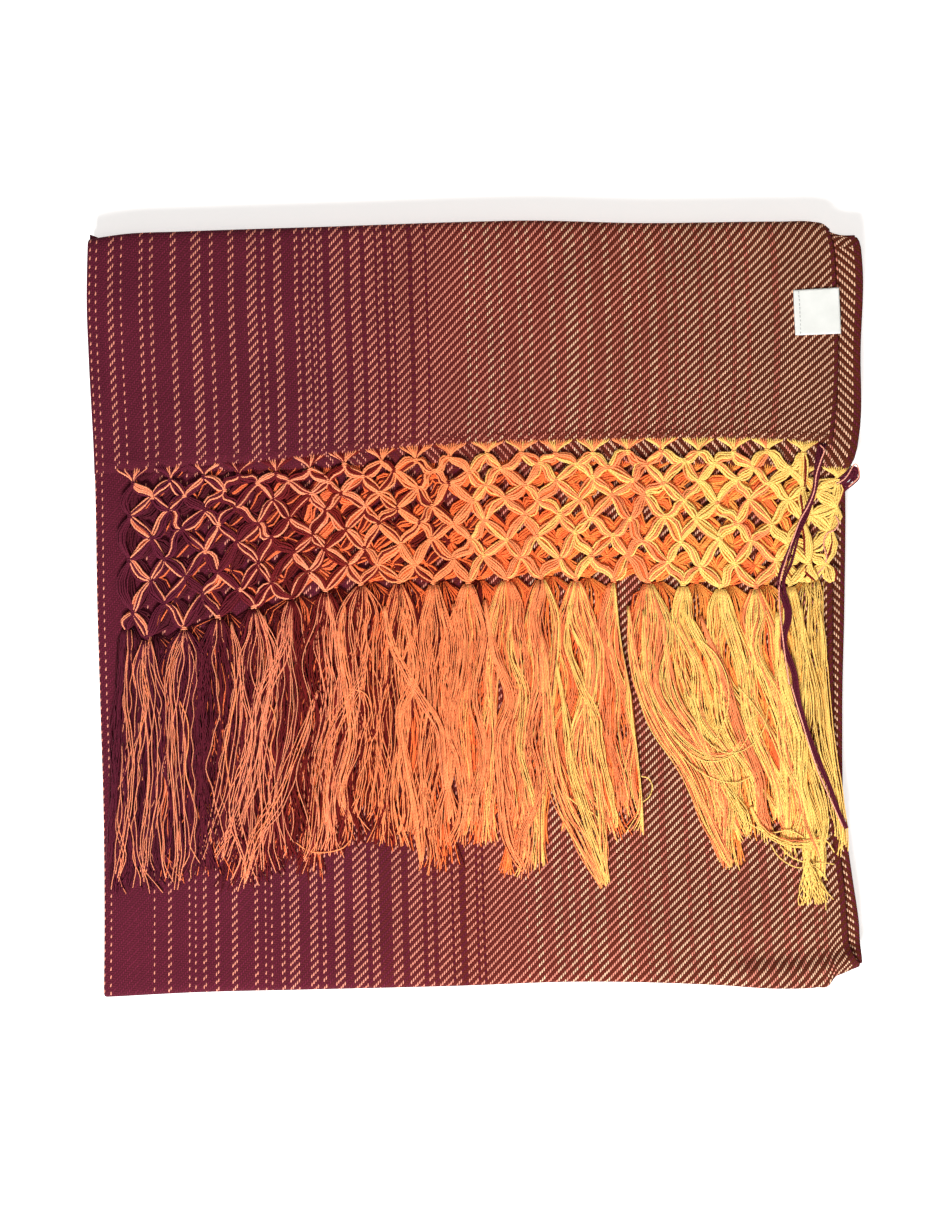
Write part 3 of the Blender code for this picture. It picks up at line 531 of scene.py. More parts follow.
class Nodes:
    """Builds a material's node tree: each call adds one node, links its inputs and gives its output."""

    def __init__(self, name):
        self.material = bpy.data.materials.new(name)
        self.material.use_nodes = True
        self.tree = self.material.node_tree
        self.shader = self.tree.nodes["Principled BSDF"]

    def link(self, value, socket):
        """Sets a socket from a number, a colour or another node's output."""
        if isinstance(value, bpy.types.NodeSocket):
            self.tree.links.new(value, socket)
        else:
            socket.default_value = value

    def math(self, operation, first, second=0.0, third=0.0):
        node = self.tree.nodes.new("ShaderNodeMath")
        node.operation = operation
        for value, socket in zip((first, second, third), node.inputs):
            self.link(value, socket)
        return node.outputs[0]

    def mix(self, share, first, second, blend="MIX"):
        node = self.tree.nodes.new("ShaderNodeMix")
        node.data_type = "RGBA"
        node.blend_type = blend
        self.link(share, node.inputs[0])
        self.link(first, node.inputs[6])
        self.link(second, node.inputs[7])
        return node.outputs[2]

    def shaded(self, colour, shade):
        """A colour made darker or lighter by a factor."""
        grey = self.tree.nodes.new("ShaderNodeCombineColor")
        for socket in grey.inputs:
            self.link(shade, socket)
        return self.mix(1.0, colour, grey.outputs[0], "MULTIPLY")

    def noise(self, scale, detail=2.0, place=None):
        node = self.tree.nodes.new("ShaderNodeTexNoise")
        node.inputs["Scale"].default_value = scale
        node.inputs["Detail"].default_value = detail
        self.link(place or self.place(), node.inputs["Vector"])
        return node.outputs[0]

    def place(self):
        return self.tree.nodes.new("ShaderNodeTexCoord").outputs["Object"]

    def threads(self):
        """The UV map's two parts, in threads."""
        uv = self.tree.nodes.new("ShaderNodeUVMap")
        uv.uv_map = "weave"
        parts = self.tree.nodes.new("ShaderNodeSeparateXYZ")
        self.link(uv.outputs[0], parts.inputs[0])
        return parts.outputs[0], parts.outputs[1]

    def dye(self):
        node = self.tree.nodes.new("ShaderNodeVertexColor")
        node.layer_name = "dye"
        return node.outputs[0]

    def ramp(self, value, stops):
        """A straight ramp of colours or greys over stops of (place, colour)."""
        node = self.tree.nodes.new("ShaderNodeValToRGB")
        elements = node.color_ramp.elements
        while len(elements) < len(stops):
            elements.new(0.5)
        for element, (place, colour) in zip(elements, stops):
            element.position = place
            element.color = (*colour, 1.0)
        self.link(value, node.inputs[0])
        return node.outputs[0]

    def bump(self, height, strength, distance, under=None):
        node = self.tree.nodes.new("ShaderNodeBump")
        node.inputs["Strength"].default_value = strength
        node.inputs["Distance"].default_value = distance
        self.link(height, node.inputs["Height"])
        if under is not None:
            self.link(under, node.inputs["Normal"])
        return node.outputs[0]

    def finish(self, colour, roughness, normal, sheen=0.0, specular=0.3):
        self.link(colour, self.shader.inputs["Base Color"])
        self.link(roughness, self.shader.inputs["Roughness"])
        self.link(normal, self.shader.inputs["Normal"])
        self.shader.inputs["Sheen Weight"].default_value = sheen
        self.shader.inputs["Sheen Roughness"].default_value = 0.5
        self.shader.inputs["Specular IOR Level"].default_value = specular
        return self.material


def twill_material():
    """2/2 twill. With end e and pick p, the warp is on top where (p - e) mod 4 is under 2. A float is an
    ellipse 1 - r^2 that leans with the twill: r^2 = (beside / half width)^2 + (along / half length)^2, where
    beside grows by the lean over the float's length. The floats of warp show their dye and the rest shows
    the weft, and both get painted shade where they dip."""
    n = Nodes("striped_twill")
    end_place, pick_place = n.threads()
    end = n.math("FLOOR", end_place)
    pick = n.math("FLOOR", pick_place)

    def float_shape(along, beside, half_width, half_length, lean):
        centred = n.math("SUBTRACT", along, 1.0)
        aside = n.math("MULTIPLY_ADD", centred, -lean, n.math("SUBTRACT", beside, 0.5))
        wide = n.math("POWER", n.math("ABSOLUTE", n.math("DIVIDE", aside, half_width)), 2.0)
        far = n.math("POWER", n.math("ABSOLUTE", n.math("DIVIDE", centred, half_length)), 2.0)
        return n.math("MAXIMUM", n.math("SUBTRACT", 1.0, n.math("ADD", wide, far)), 0.0)

    warp_along = n.math("FLOORED_MODULO", n.math("SUBTRACT", pick_place, end), 4.0)
    weft_along = n.math("FLOORED_MODULO", n.math("SUBTRACT", n.math("SUBTRACT", end_place, pick), 1.0), 4.0)
    wander = n.math("MULTIPLY_ADD", n.noise(1300.0, 2.0), 0.30, -0.15)
    beside_end = n.math("ADD", n.math("SUBTRACT", end_place, end), wander)
    warp = float_shape(warp_along, beside_end, 0.37, 1.02, 0.12)
    weft = float_shape(weft_along, n.math("SUBTRACT", pick_place, pick), 0.52, 1.10, 0.0)
    loose = n.math("MULTIPLY", n.math("GREATER_THAN", pick_place, 0.0), n.math("LESS_THAN", pick_place, 5.5))
    ragged = n.math("MULTIPLY", loose, n.math("MULTIPLY_ADD", n.noise(900.0, 1.0), 3.2, -1.35))
    warp = n.math("MAXIMUM", n.math("SUBTRACT", warp, n.math("MAXIMUM", ragged, 0.0)), 0.0)
    shows = n.math("MINIMUM", n.math("MULTIPLY", warp, 4.0), 1.0)
    height = n.math("MAXIMUM", warp, n.math("MULTIPLY", weft, 0.62))
    ground = n.ramp(
        n.math("DIVIDE", n.math("ABSOLUTE", end_place), float(ENDS)),
        [(end_number / ENDS, colour) for end_number, colour in WEFT_SHADES],
    )
    colour = n.mix(shows, ground, n.dye())
    # Painted shade: floats and weft are darker where they dip under each other
    depth = n.math("MULTIPLY_ADD", height, 0.50, 0.66)
    worn = n.math("MULTIPLY_ADD", n.noise(1100.0, 2.0), 0.70, 0.65)
    cloudy = n.math("MULTIPLY_ADD", n.noise(30.0, 3.0), 0.40, 0.80)
    shade = n.math("MULTIPLY", n.math("MULTIPLY", depth, worn), cloudy)
    colour = n.shaded(colour, shade)
    fuzz = n.bump(n.noise(2600.0, 3.0), 0.3, 0.0002)
    normal = n.bump(height, 0.8, 0.00035, fuzz)
    return n.finish(colour, 0.9, normal, specular=0.10)


def yarn_material(name, roughness=0.78):
    """Soft two-ply yarn: its dye, mottled along its length, with painted shade in the grooves between the
    plies and the plies' slant as a fine ridge.
    """
    n = Nodes(name)
    around, along = n.threads()
    turn = n.math("MULTIPLY", n.math("ADD", n.math("MULTIPLY", around, 2.0), along), math.pi)
    ply = n.math("ABSOLUTE", n.math("SINE", turn))
    mottle = n.math("MULTIPLY_ADD", n.noise(420.0, 3.0), 0.50, 0.76)
    # Painted shade in the grooves between the plies
    groove_shade = n.math("MULTIPLY_ADD", ply, 0.26, 0.76)
    shade = n.math("MULTIPLY", mottle, groove_shade)
    colour = n.shaded(n.dye(), shade)
    normal = n.bump(n.math("MULTIPLY_ADD", n.noise(3000.0, 2.0), 0.4, ply), 0.5, 0.00022)
    return n.finish(colour, roughness, normal, specular=0.12)


def label_material():
    """Bare satin label tape: near white, with fine crosswise ribs and a faint unevenness."""
    n = Nodes("label_tape")
    along, across = n.threads()
    rib = n.math("ABSOLUTE", n.math("SINE", n.math("MULTIPLY", across, math.pi)))
    warp = n.math("ABSOLUTE", n.math("SINE", n.math("MULTIPLY", along, math.pi)))
    weave = n.math("MULTIPLY_ADD", warp, 0.4, rib)
    tint = n.mix(n.noise(160.0, 3.0), (0.69, 0.71, 0.68, 1.0), (0.80, 0.81, 0.78, 1.0))
    normal = n.bump(weave, 0.35, 0.00010)
    return n.finish(tint, 0.52, normal, sheen=0.1, specular=0.35)


def floor_material():
    """Matt off-white card with a barely visible tooth. A little light of its own keeps shadows faint."""
    n = Nodes("pale_card")
    n.shader.inputs["Emission Color"].default_value = (1.0, 1.0, 1.0, 1.0)
    n.shader.inputs["Emission Strength"].default_value = CARD_GLOW
    tint = n.mix(n.noise(60.0, 4.0), (0.90, 0.90, 0.90, 1.0), (0.93, 0.93, 0.925, 1.0))
    return n.finish(tint, 0.9, n.bump(n.noise(900.0, 2.0), 0.05, 0.0002), specular=0.2)


TWILL = twill_material()
YARN = yarn_material("fringe_yarn")
SEWING = yarn_material("sewing_thread", 0.6)
LABEL = label_material()
CARD = floor_material()


def end_tones(stripes, cream):
    """Name of the yarn of every end of one half of the web."""
    tones = np.full(ENDS, "plum", dtype="<U6")
    for first, last in stripes:
        tones[first : last + 1] = "orange"
    for first, last in cream:
        tones[first : last + 1] = "cream"
    return tones


def end_colours(tones, shades, uneven):
    """Colour of every end from its yarn's, each a little lighter or darker than the last."""
    colour = np.array([shades[tone] for tone in tones])
    return colour * (1 + uneven * dice.uniform(-1, 1, (ENDS, 1)))


FIRST_HALF = end_tones(STRIPES_FIRST_HALF, CREAM_FIRST_HALF)
SECOND_HALF = end_tones(STRIPES_SECOND_HALF, CREAM_SECOND_HALF)
WOVEN_FIRST = end_colours(FIRST_HALF, WOVEN_TONES, 0.10)
WOVEN_SECOND = end_colours(SECOND_HALF, WOVEN_TONES, 0.10)


def doubled_columns(fine_share):
    """Column edges across the doubled cloth, from the upper selvedge round the spine to the under one: share
    of the way out from the spine, angle of the turn, and place in ends. The under layer's columns are four
    ends wide until fine_share of the way out, where it comes into view."""
    upper_end = np.arange(ENDS, -1, -1.0)
    turn = np.linspace(0, 1, 5)[1:-1]
    coarse = np.arange(0, int(ENDS * fine_share), 4.0)
    under_end = np.concatenate([coarse, np.arange(coarse[-1] + 4, ENDS + 1)])
    out = np.concatenate([upper_end / ENDS, np.zeros(3), under_end / ENDS])
    angle = np.concatenate([np.full(ENDS + 1, 0.5), 0.5 + turn, np.full(len(under_end), 1.5)]) * np.pi
    ends = np.concatenate([upper_end, -SPINE_ENDS * turn, -SPINE_ENDS - under_end])
    return out, angle, ends


def doubled_colours(ends, first, second):
    """Colour of each column: of the first half's ends above and the second half's below."""
    middle = (ends[1:] + ends[:-1]) / 2
    above = np.clip(np.floor(middle), 0, ENDS - 1).astype(int)
    below = np.clip(np.floor(-middle - SPINE_ENDS), 0, ENDS - 1).astype(int)
    return np.where((middle >= 0)[:, None], first[above], second[below])


def doubled_sheet(name, stations, picks, sides, place, fine_share, first, second, turned_from=9.0):
    """A stretch of doubled cloth as one thin shell. A column lies at spine + (even side - spine) * out +
    (side - even side) * out^5, round the spine at the layer's offset times the cosine of its turn, and
    place() puts each station of it. From one station on, the under layer's outer ends show their other
    twill."""
    out, angle, ends = doubled_columns(fine_share)
    layer = np.sin(angle)
    rows = []
    for station in stations:
        upper_side, under_side, left_side, even_side = sides(station)
        spine = left_side + FACE_OFFSET
        side = under_side + (upper_side - under_side) * (layer + 1) / 2
        across = spine + (even_side - spine) * out + (side - even_side) * out**5
        across = across + MIDDLE_OFFSET * np.cos(angle)
        rows.append(place(across, station, MIDDLE_OFFSET * layer, layer))
    points = settled(np.array(rows))
    quads = grid_quads(len(stations), len(out))
    threads = np.stack(np.broadcast_arrays(ends[None, :], np.array(picks)[:, None]), -1)
    colours = np.repeat(np.tile(doubled_colours(ends, first, second), (len(stations) - 1, 1)), 4, axis=0)
    corner_threads = grid_corners(threads)
    corner_stations = np.repeat(np.repeat(stations[:-1], len(out) - 1), 4)
    other = (corner_stations >= turned_from) & (corner_threads[:, 0] < -0.9 * ENDS)
    corner_threads[other, 0] *= -1
    sheet = new_piece(name, points, [quads], TWILL, corner_threads, colours)
    wall = sheet.modifiers.new("wall", "SOLIDIFY")
    wall.thickness = CLOTH
    wall.offset = 0.0
    return sheet


def fold_stations(flat_rows, turn_rows, closing):
    """Stations of a stretch: 0 to 1 flat, closer together near the bend, 1 to 2 turning, then its tail."""
    flat = 1 - (1 - np.linspace(0, 1, flat_rows + 1)[:-1]) ** closing
    return np.concatenate([flat, np.linspace(1, 2, turn_rows + 1), [2.5]])


def end_flap():
    """The shawl's end, turned over the packet's top edge by half a circle of each layer's own radius."""
    centre = FLAP_MID - FOLD_RADIUS

    def place(across, station, offset, layer):
        bend = fold_at(TOP_FOLD, across, min(station, 1.0)) - FOLD_REACH
        upper = line_at(WOVEN_END_UPPER, across)
        under = line_at(WOVEN_END_UNDER, across)
        woven = under + (upper - under) * (layer + 1) / 2
        angle = np.pi * np.clip(station - 1, 0, 1)
        reach = FOLD_RADIUS + offset
        up = woven + (bend - woven) * min(station, 1.0) + reach * np.sin(angle)
        up = up - FOLD_TAIL * (station > 2)
        return np.stack([across, up, centre + reach * np.cos(angle)], -1)

    def sides(station):
        share = min(station, 1.0)
        upper_up = UPPER_CORNER + (FOLD_UP - UPPER_CORNER) * share
        under_up = UNDER_CORNER + (FOLD_UP - UNDER_CORNER) * share
        upper = line_at(FLAP_SIDE_UPPER, upper_up)
        return upper, line_at(FLAP_SIDE_UNDER, under_up), line_at(LEFT_SIDE, under_up), upper

    stations = fold_stations(26, 8, 1.15)
    flat_length = FOLD_UP - UPPER_CORNER
    picks = (flat_length * np.minimum(stations, 1) + math.pi * 0.002 * np.maximum(stations - 1, 0)) / PICK
    sheet = doubled_sheet(
        "end_flap_cloth", stations, picks, sides, place, 0.86, WOVEN_FIRST, WOVEN_SECOND, 0.91
    )
    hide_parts("end_flap")
    return sheet


def top_panel():
    """The packet's top panel, which turns down round the bottom edge as the end flap does round the top."""
    centre = PANEL_MID - FOLD_RADIUS

    def place(across, station, offset, layer):
        share = min(station, 1.0)
        start = fold_at(TOP_FOLD, across, 1 - share) - FOLD_ROOM
        bend = fold_at(BOTTOM_FOLD, across, share) + FOLD_REACH
        angle = np.pi * np.clip(station - 1, 0, 1)
        reach = FOLD_RADIUS + offset
        up = start + (bend - start) * share - reach * np.sin(angle) + FOLD_TAIL * (station > 2)
        return np.stack([across, up, centre + reach * np.cos(angle)], -1)

    def sides(station):
        share = min(station, 1.0)
        up = FOLD_UP + (RIGHT_CORNER - FOLD_UP) * share
        left_up = FOLD_UP + (LEFT_CORNER - FOLD_UP) * share
        upper, under = line_at(PANEL_SIDE_UPPER, up), line_at(PANEL_SIDE_UNDER, up)
        return upper, under, line_at(LEFT_SIDE, left_up), line_at(PANEL_STRIPES, up)

    stations = fold_stations(46, 8, 1.6)
    flat_length = FOLD_UP - RIGHT_CORNER
    picks = -(flat_length * np.minimum(stations, 1) + math.pi * 0.002 * np.maximum(stations - 1, 0)) / PICK
    sheet = doubled_sheet(
        "top_panel_cloth", stations, picks, sides, place, 0.86, WOVEN_SECOND, WOVEN_FIRST
    )
    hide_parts("top_panel")
    return sheet


def folded_core():
    """The hidden panels: rings round the stack, one above another. A ring lies in from the outline by the
    nose r - sqrt(r^2 - h^2) of the fold or selvedge that it cuts at height h from its middle, so the edges
    show one round nose for each fold and each selvedge. Grids within the lowest and highest ring close it."""
    columns, rows = ENDS, 24
    samples = 4
    across = np.linspace(*CORE_ACROSS, columns + 1)
    upward = np.linspace(*CORE_UP, rows + 1)
    bottom = np.stack([across[:-1], line_at(CORE_BOTTOM, across[:-1])], -1)
    right = np.stack([line_at(CORE_RIGHT, upward[:-1]), upward[:-1]], -1)
    top = np.stack([across[::-1][:-1], line_at(TOP_FOLD, across[::-1][:-1]) - CORE_SLACK], -1)
    left = np.stack([line_at(LEFT_SIDE, upward[::-1][:-1]) + CORE_SLACK, upward[::-1][:-1]], -1)
    outline = np.concatenate([bottom, right, top, left])
    ways = (((0, -1), columns), ((1, 0), rows), ((0, 1), columns), ((-1, 0), rows))
    outward = np.concatenate([np.tile(way, (count, 1)) for way, count in ways]).astype(float)
    side = np.repeat([0, 1, 2, 3], [columns, rows, columns, rows])
    for corner in (0, columns, columns + rows, 2 * columns + rows):
        outward[corner] = (outward[corner] + outward[corner - 1]) * 0.75
    levels = []
    half = CLOTH / 2
    for layer in range(2 * HIDDEN_PANELS):
        for step in np.linspace(-1, 1, samples):
            levels.append((layer, layer * LAYER + half + half * step * 0.999))
    shifts = dice.uniform(0.0, SELVEDGE_SHIFT, 2 * HIDDEN_PANELS)
    pair_shifts = dice.uniform(0.0, FOLD_SHIFT, HIDDEN_PANELS + 1)
    waves = dice.uniform(0, 6.28, (2 * HIDDEN_PANELS, 3))
    around = np.arange(len(outline)) / len(outline) * 2 * np.pi
    rings, threads = [], []
    for layer, height in levels:
        panel = layer // 2
        selvedge = nose(height - (layer * LAYER + half), half) * 0.9 + shifts[layer]
        selvedge = selvedge + 0.0006 * np.sin(5 * around + waves[layer, 0])
        spine_middle = panel * DOUBLED + LAYER - GAP / 2
        spine = nose(height - spine_middle, FACE_OFFSET) + 0.35 * pair_shifts[panel]
        spine = spine + 0.0004 * np.sin(4 * around + waves[layer - layer % 2, 1])
        inset = np.zeros(len(outline))
        inset[side == 1] = selvedge[side == 1]
        inset[side == 3] = spine[side == 3]
        for which, first_pair in ((2, 1), (0, 0)):
            pair = (panel - first_pair) // 2
            lone = panel < first_pair
            middle = (first_pair + 2 * pair + 1) * DOUBLED - GAP / 2
            fold = nose(height - middle, DOUBLED - GAP / 2) + pair_shifts[pair + 1]
            fold = LONE_FOLD + 0 * around if lone else fold + 0.0005 * np.sin(6 * around + waves[panel, 2])
            inset[side == which] = fold[side == which]
        point = np.column_stack([outline - outward * inset[:, None], np.full(len(outline), height)])
        if panel == HIDDEN_PANELS - 1:
            room = line_at(BOTTOM_FOLD, point[:, 0]) + FOLD_ROOM + 0.001
            point[:, 1] = np.maximum(point[:, 1], room)
        rings.append(point)
        ends = end_at(point[:, 0]) + np.where(side % 2 == 1, height / 0.00104, 0.0)
        picks = CORE_PICKS + point[:, 1] / PICK + np.where(side % 2 == 0, height / PICK, 0.0)
        threads.append(np.stack([ends, picks], -1))
    rings, threads = np.array(rings), np.array(threads)
    count = len(outline)
    quads = grid_quads(len(levels), count + 1)
    quads = np.where(quads % (count + 1) == count, quads - count, quads)
    quads = quads // (count + 1) * count + quads % (count + 1)
    wrapped_threads = np.concatenate([threads, threads[:, :1]], 1)
    share = np.linspace(0, 1, rows + 1)[1:-1, None, None]
    index = np.zeros((rows + 1, columns + 1), int)
    index[0] = np.arange(columns + 1)
    index[:, columns] = columns + np.arange(rows + 1)
    index[rows] = (columns + rows + np.arange(columns + 1))[::-1]
    left_index = 2 * columns + rows + np.arange(rows + 1)
    index[:, 0] = np.where(left_index == count, 0, left_index)[::-1]
    inner, covers = [], []
    for which in (0, len(levels) - 1):
        ring = rings[which]
        lower_edge, upper_edge = ring[: columns + 1], ring[columns + rows : 2 * columns + rows + 1][::-1]
        cover = index + which * count
        first = rings.size // 3 + len(inner) * (rows - 1) * (columns - 1)
        cover[1:-1, 1:-1] = first + np.arange((rows - 1) * (columns - 1)).reshape(rows - 1, -1)
        inner.append(lower_edge[1:-1] * (1 - share) + upper_edge[1:-1] * share)
        corners = [cover[:-1, :-1], cover[1:, :-1], cover[1:, 1:], cover[:-1, 1:]]
        covers.append(np.stack(corners, -1).reshape(-1, 4))
    covers = np.concatenate([covers[0], covers[1][:, ::-1]])
    inner = np.array(inner).reshape(-1, 3)
    points = np.concatenate([rings.reshape(-1, 3), inner])
    inner_threads = np.stack([end_at(inner[:, 0]), inner[:, 1] / PICK + CORE_PICKS], -1)
    all_threads = np.concatenate([threads.reshape(-1, 2), inner_threads])
    side_ends = grid_corners(wrapped_threads)[:, 0].reshape(-1, 4).mean(1)
    cover_ends = all_threads[covers][:, :, 0].mean(1)
    corner_uv = np.concatenate([grid_corners(wrapped_threads), all_threads[covers].reshape(-1, 2)])
    ends = np.repeat(np.concatenate([side_ends, cover_ends]), 4)
    colours = WOVEN_SECOND[np.clip(np.floor(ends), 0, ENDS - 1).astype(int)]
    core = new_piece("packet_layers", settled(points), [quads, covers], TWILL, corner_uv, colours)
    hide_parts("folded_core")
    return core


def nose(height, radius):
    """How far a round nose of that radius lies in from its tip at a height from its middle."""
    return radius - np.sqrt(np.maximum(radius**2 - np.minimum(np.abs(height), radius) ** 2, 0))


def tubes(paths, radius, sides, colours, up=(0.0, 0.0, 1.0)):
    """Round yarns of one radius along paths (yarn, step, 3): at each step a ring of points at
    radius * (cos a * side + sin a * over), with side = along x up and over = side x along, and closed ends.
    A ring of three points has one of them on top.
    Gives points, blocks of polygons, corner UVs (turns round, plies along) and corner colours."""
    paths = np.asarray(paths, float)
    count, steps, _ = paths.shape
    along = np.gradient(paths, axis=1)
    along /= np.linalg.norm(along, axis=-1, keepdims=True) + 1e-12
    side = np.cross(along, np.array(up, float))
    side /= np.linalg.norm(side, axis=-1, keepdims=True) + 1e-12
    over = np.cross(side, along)
    angle = np.arange(sides) * 2 * np.pi / sides + (np.pi / 2 if sides == 3 else 0)
    radii = np.broadcast_to(np.asarray(radius, float), (count, steps))[..., None, None]
    ring = np.cos(angle)[:, None] * side[:, :, None] + np.sin(angle)[:, None] * over[:, :, None]
    points = paths[:, :, None] + radii * ring
    index = np.arange(count * steps * sides).reshape(count, steps, sides)
    nearer, further = index[:, :-1], index[:, 1:]
    quads = np.stack([nearer, np.roll(nearer, -1, 2), np.roll(further, -1, 2), further], -1).reshape(-1, 4)
    caps = np.concatenate([index[:, 0, ::-1], index[:, -1]])
    length = np.linalg.norm(np.diff(paths, axis=1), axis=-1)
    lay = np.concatenate([np.zeros((count, 1)), np.cumsum(length, 1)], 1) / 0.0016 + dice.random((count, 1))
    turns = np.arange(sides + 1) / sides
    u = np.broadcast_to(turns, (count, steps, sides + 1))
    v = np.broadcast_to(lay[..., None], (count, steps, sides + 1))
    uv = np.stack([u, v], -1)
    corner_uv = np.stack([uv[:, :-1, :-1], uv[:, :-1, 1:], uv[:, 1:, 1:], uv[:, 1:, :-1]], 3).reshape(-1, 2)
    cap_uv = np.concatenate([uv[:, 0, :-1], uv[:, -1, :-1]]).reshape(-1, 2)
    colours = np.asarray(colours, float)
    if colours.ndim == 2:
        colours = np.broadcast_to(colours[:, None], (count, steps, 3))
    near_colour = np.broadcast_to(colours[:, :-1, None, None], (count, steps - 1, sides, 4, 3))
    cap_colour = np.repeat(np.concatenate([colours[:, 0], colours[:, -1]]), sides, axis=0)
    corner_colour = np.concatenate([near_colour.reshape(-1, 3), cap_colour])
    return points.reshape(-1, 3), [quads, caps], np.concatenate([corner_uv, cap_uv]), corner_colour


def joined(bundles):
    """Several results of tubes() as one: their points in a row, and their polygons and corners by size."""
    points, blocks, uvs, colours = [], {}, {}, {}
    first = 0
    for bundle_points, polygons, uv, colour in bundles:
        corner = 0
        for block in polygons:
            size = block.shape[1]
            span = slice(corner, corner + block.size)
            blocks.setdefault(size, []).append(block + first)
            uvs.setdefault(size, []).append(uv[span])
            colours.setdefault(size, []).append(colour[span])
            corner += block.size
        points.append(bundle_points)
        first += len(bundle_points)
    sizes = sorted(blocks)
    return (
        np.concatenate(points),
        [np.concatenate(blocks[size]) for size in sizes],
        np.concatenate([part for size in sizes for part in uvs[size]]),
        np.concatenate([part for size in sizes for part in colours[size]]),
    )


def yarn_piece(name, bundles, finish=YARN):
    """A piece of one or several bundles of yarn, with the packet's relief."""
    points, polygons, uv, colours = joined(bundles)
    return new_piece(name, settled(points), polygons, finish, uv, colours)


def fringe_colours(tones, shades, uneven, yellows):
    """Colours of the fringe's ends: away from the left the plum warms with painted light bounced off the
    orange yarns, and the cream starts near orange and grows yellower."""
    number = np.arange(ENDS)[:, None]
    colour = end_colours(tones, shades, uneven)
    # Painted bounced light: the plum is warmed away from the left as if lit by the orange yarns around it
    bounce_warmed = colour * (1 + smooth((number - 20) / 100) * (np.array(BOUNCE_WARMED_PLUM) - 1))
    orange = np.array(shades["orange"])
    pinker = orange * np.array(LEFT_ORANGE)
    share = smooth((number - yellows[0]) / (yellows[1] - yellows[0]))
    yellower = orange + (colour - orange) * (0.35 + 0.65 * share)
    colour = np.where((tones == "plum")[:, None], bounce_warmed, colour)
    pinker = colour * (1 + smooth((150 - number) / 60) * (pinker / orange - 1))
    colour = np.where((tones == "orange")[:, None], pinker, colour)
    return np.where((tones == "cream")[:, None], yellower, colour)


# The under net's colours and the "inside" ones come from the darker tones: painted shade for yarns beneath
# the upper net and low in its bundles
FRINGE_COLOURS = {
    "upper": fringe_colours(FIRST_HALF, FRINGE_TONES, 0.07, YELLOWS["upper"]),
    "under": fringe_colours(SECOND_HALF, SHADED_TONES, 0.10, YELLOWS["under"]),
    "inside": fringe_colours(FIRST_HALF, SHADED_TONES, 0.07, YELLOWS["upper"]),
}
# The under net's last ends lie as far out as the upper one's and get its colours, without the painted shade
FRINGE_COLOURS["under"][-26:] = FRINGE_COLOURS["upper"][-26:]


def knot_place(net, group, row):
    """Across and up of knots. Odd rows have whole group numbers and even rows halves, and the rows grow
    further apart down the net as a power of their number."""
    group = np.asarray(group, float)
    first_top, step_top, first_last, step_last = NET_SPREAD[net]
    share = ((row - 1) / (ROWS - 1)) ** ROW_GROWTH
    across = (first_top + step_top * group) * (1 - share) + (first_last + step_last * group) * share
    last = line_at(LAST_KNOTS, across) + (UNDER_NET_LIFT if net == "under" else 0.0)
    woven = line_at(WOVEN_ENDS[net], across)
    up = (woven - HEADER_GAP - HEADER_DEPTH - FIRST_KNOT_DROP) * (1 - share) + last * share
    inside = 1.0 if 1 < row < ROWS else 0.0
    across = across + JITTER * inside * np.sin(12.9 * group + 7.3 * row)
    up = up + JITTER * inside * np.sin(5.7 * group + 9.1 * row + 1.3)
    own = 3.1 if net == "under" else 0.0
    slack = SLACK * (0.4 + 0.6 * inside)
    across = across + slack * np.sin(23.1 * group + 3.7 * row + own)
    up = up + slack * np.sin(17.3 * group + 5.1 * row + 2 * own)
    return np.stack([across, up], -1)


def row_groups(row):
    """Group numbers of a row's knots."""
    return np.arange(GROUPS) if row % 2 else np.arange(GROUPS - 1) + 0.5


def edge_tassel_root(net, group, side):
    """Where the half group at the edge of the last full row lets go of the net."""
    place = knot_place(net, group, ROWS - 1)
    return place + np.array([side * EDGE_TAIL[0], -EDGE_TAIL[1]])


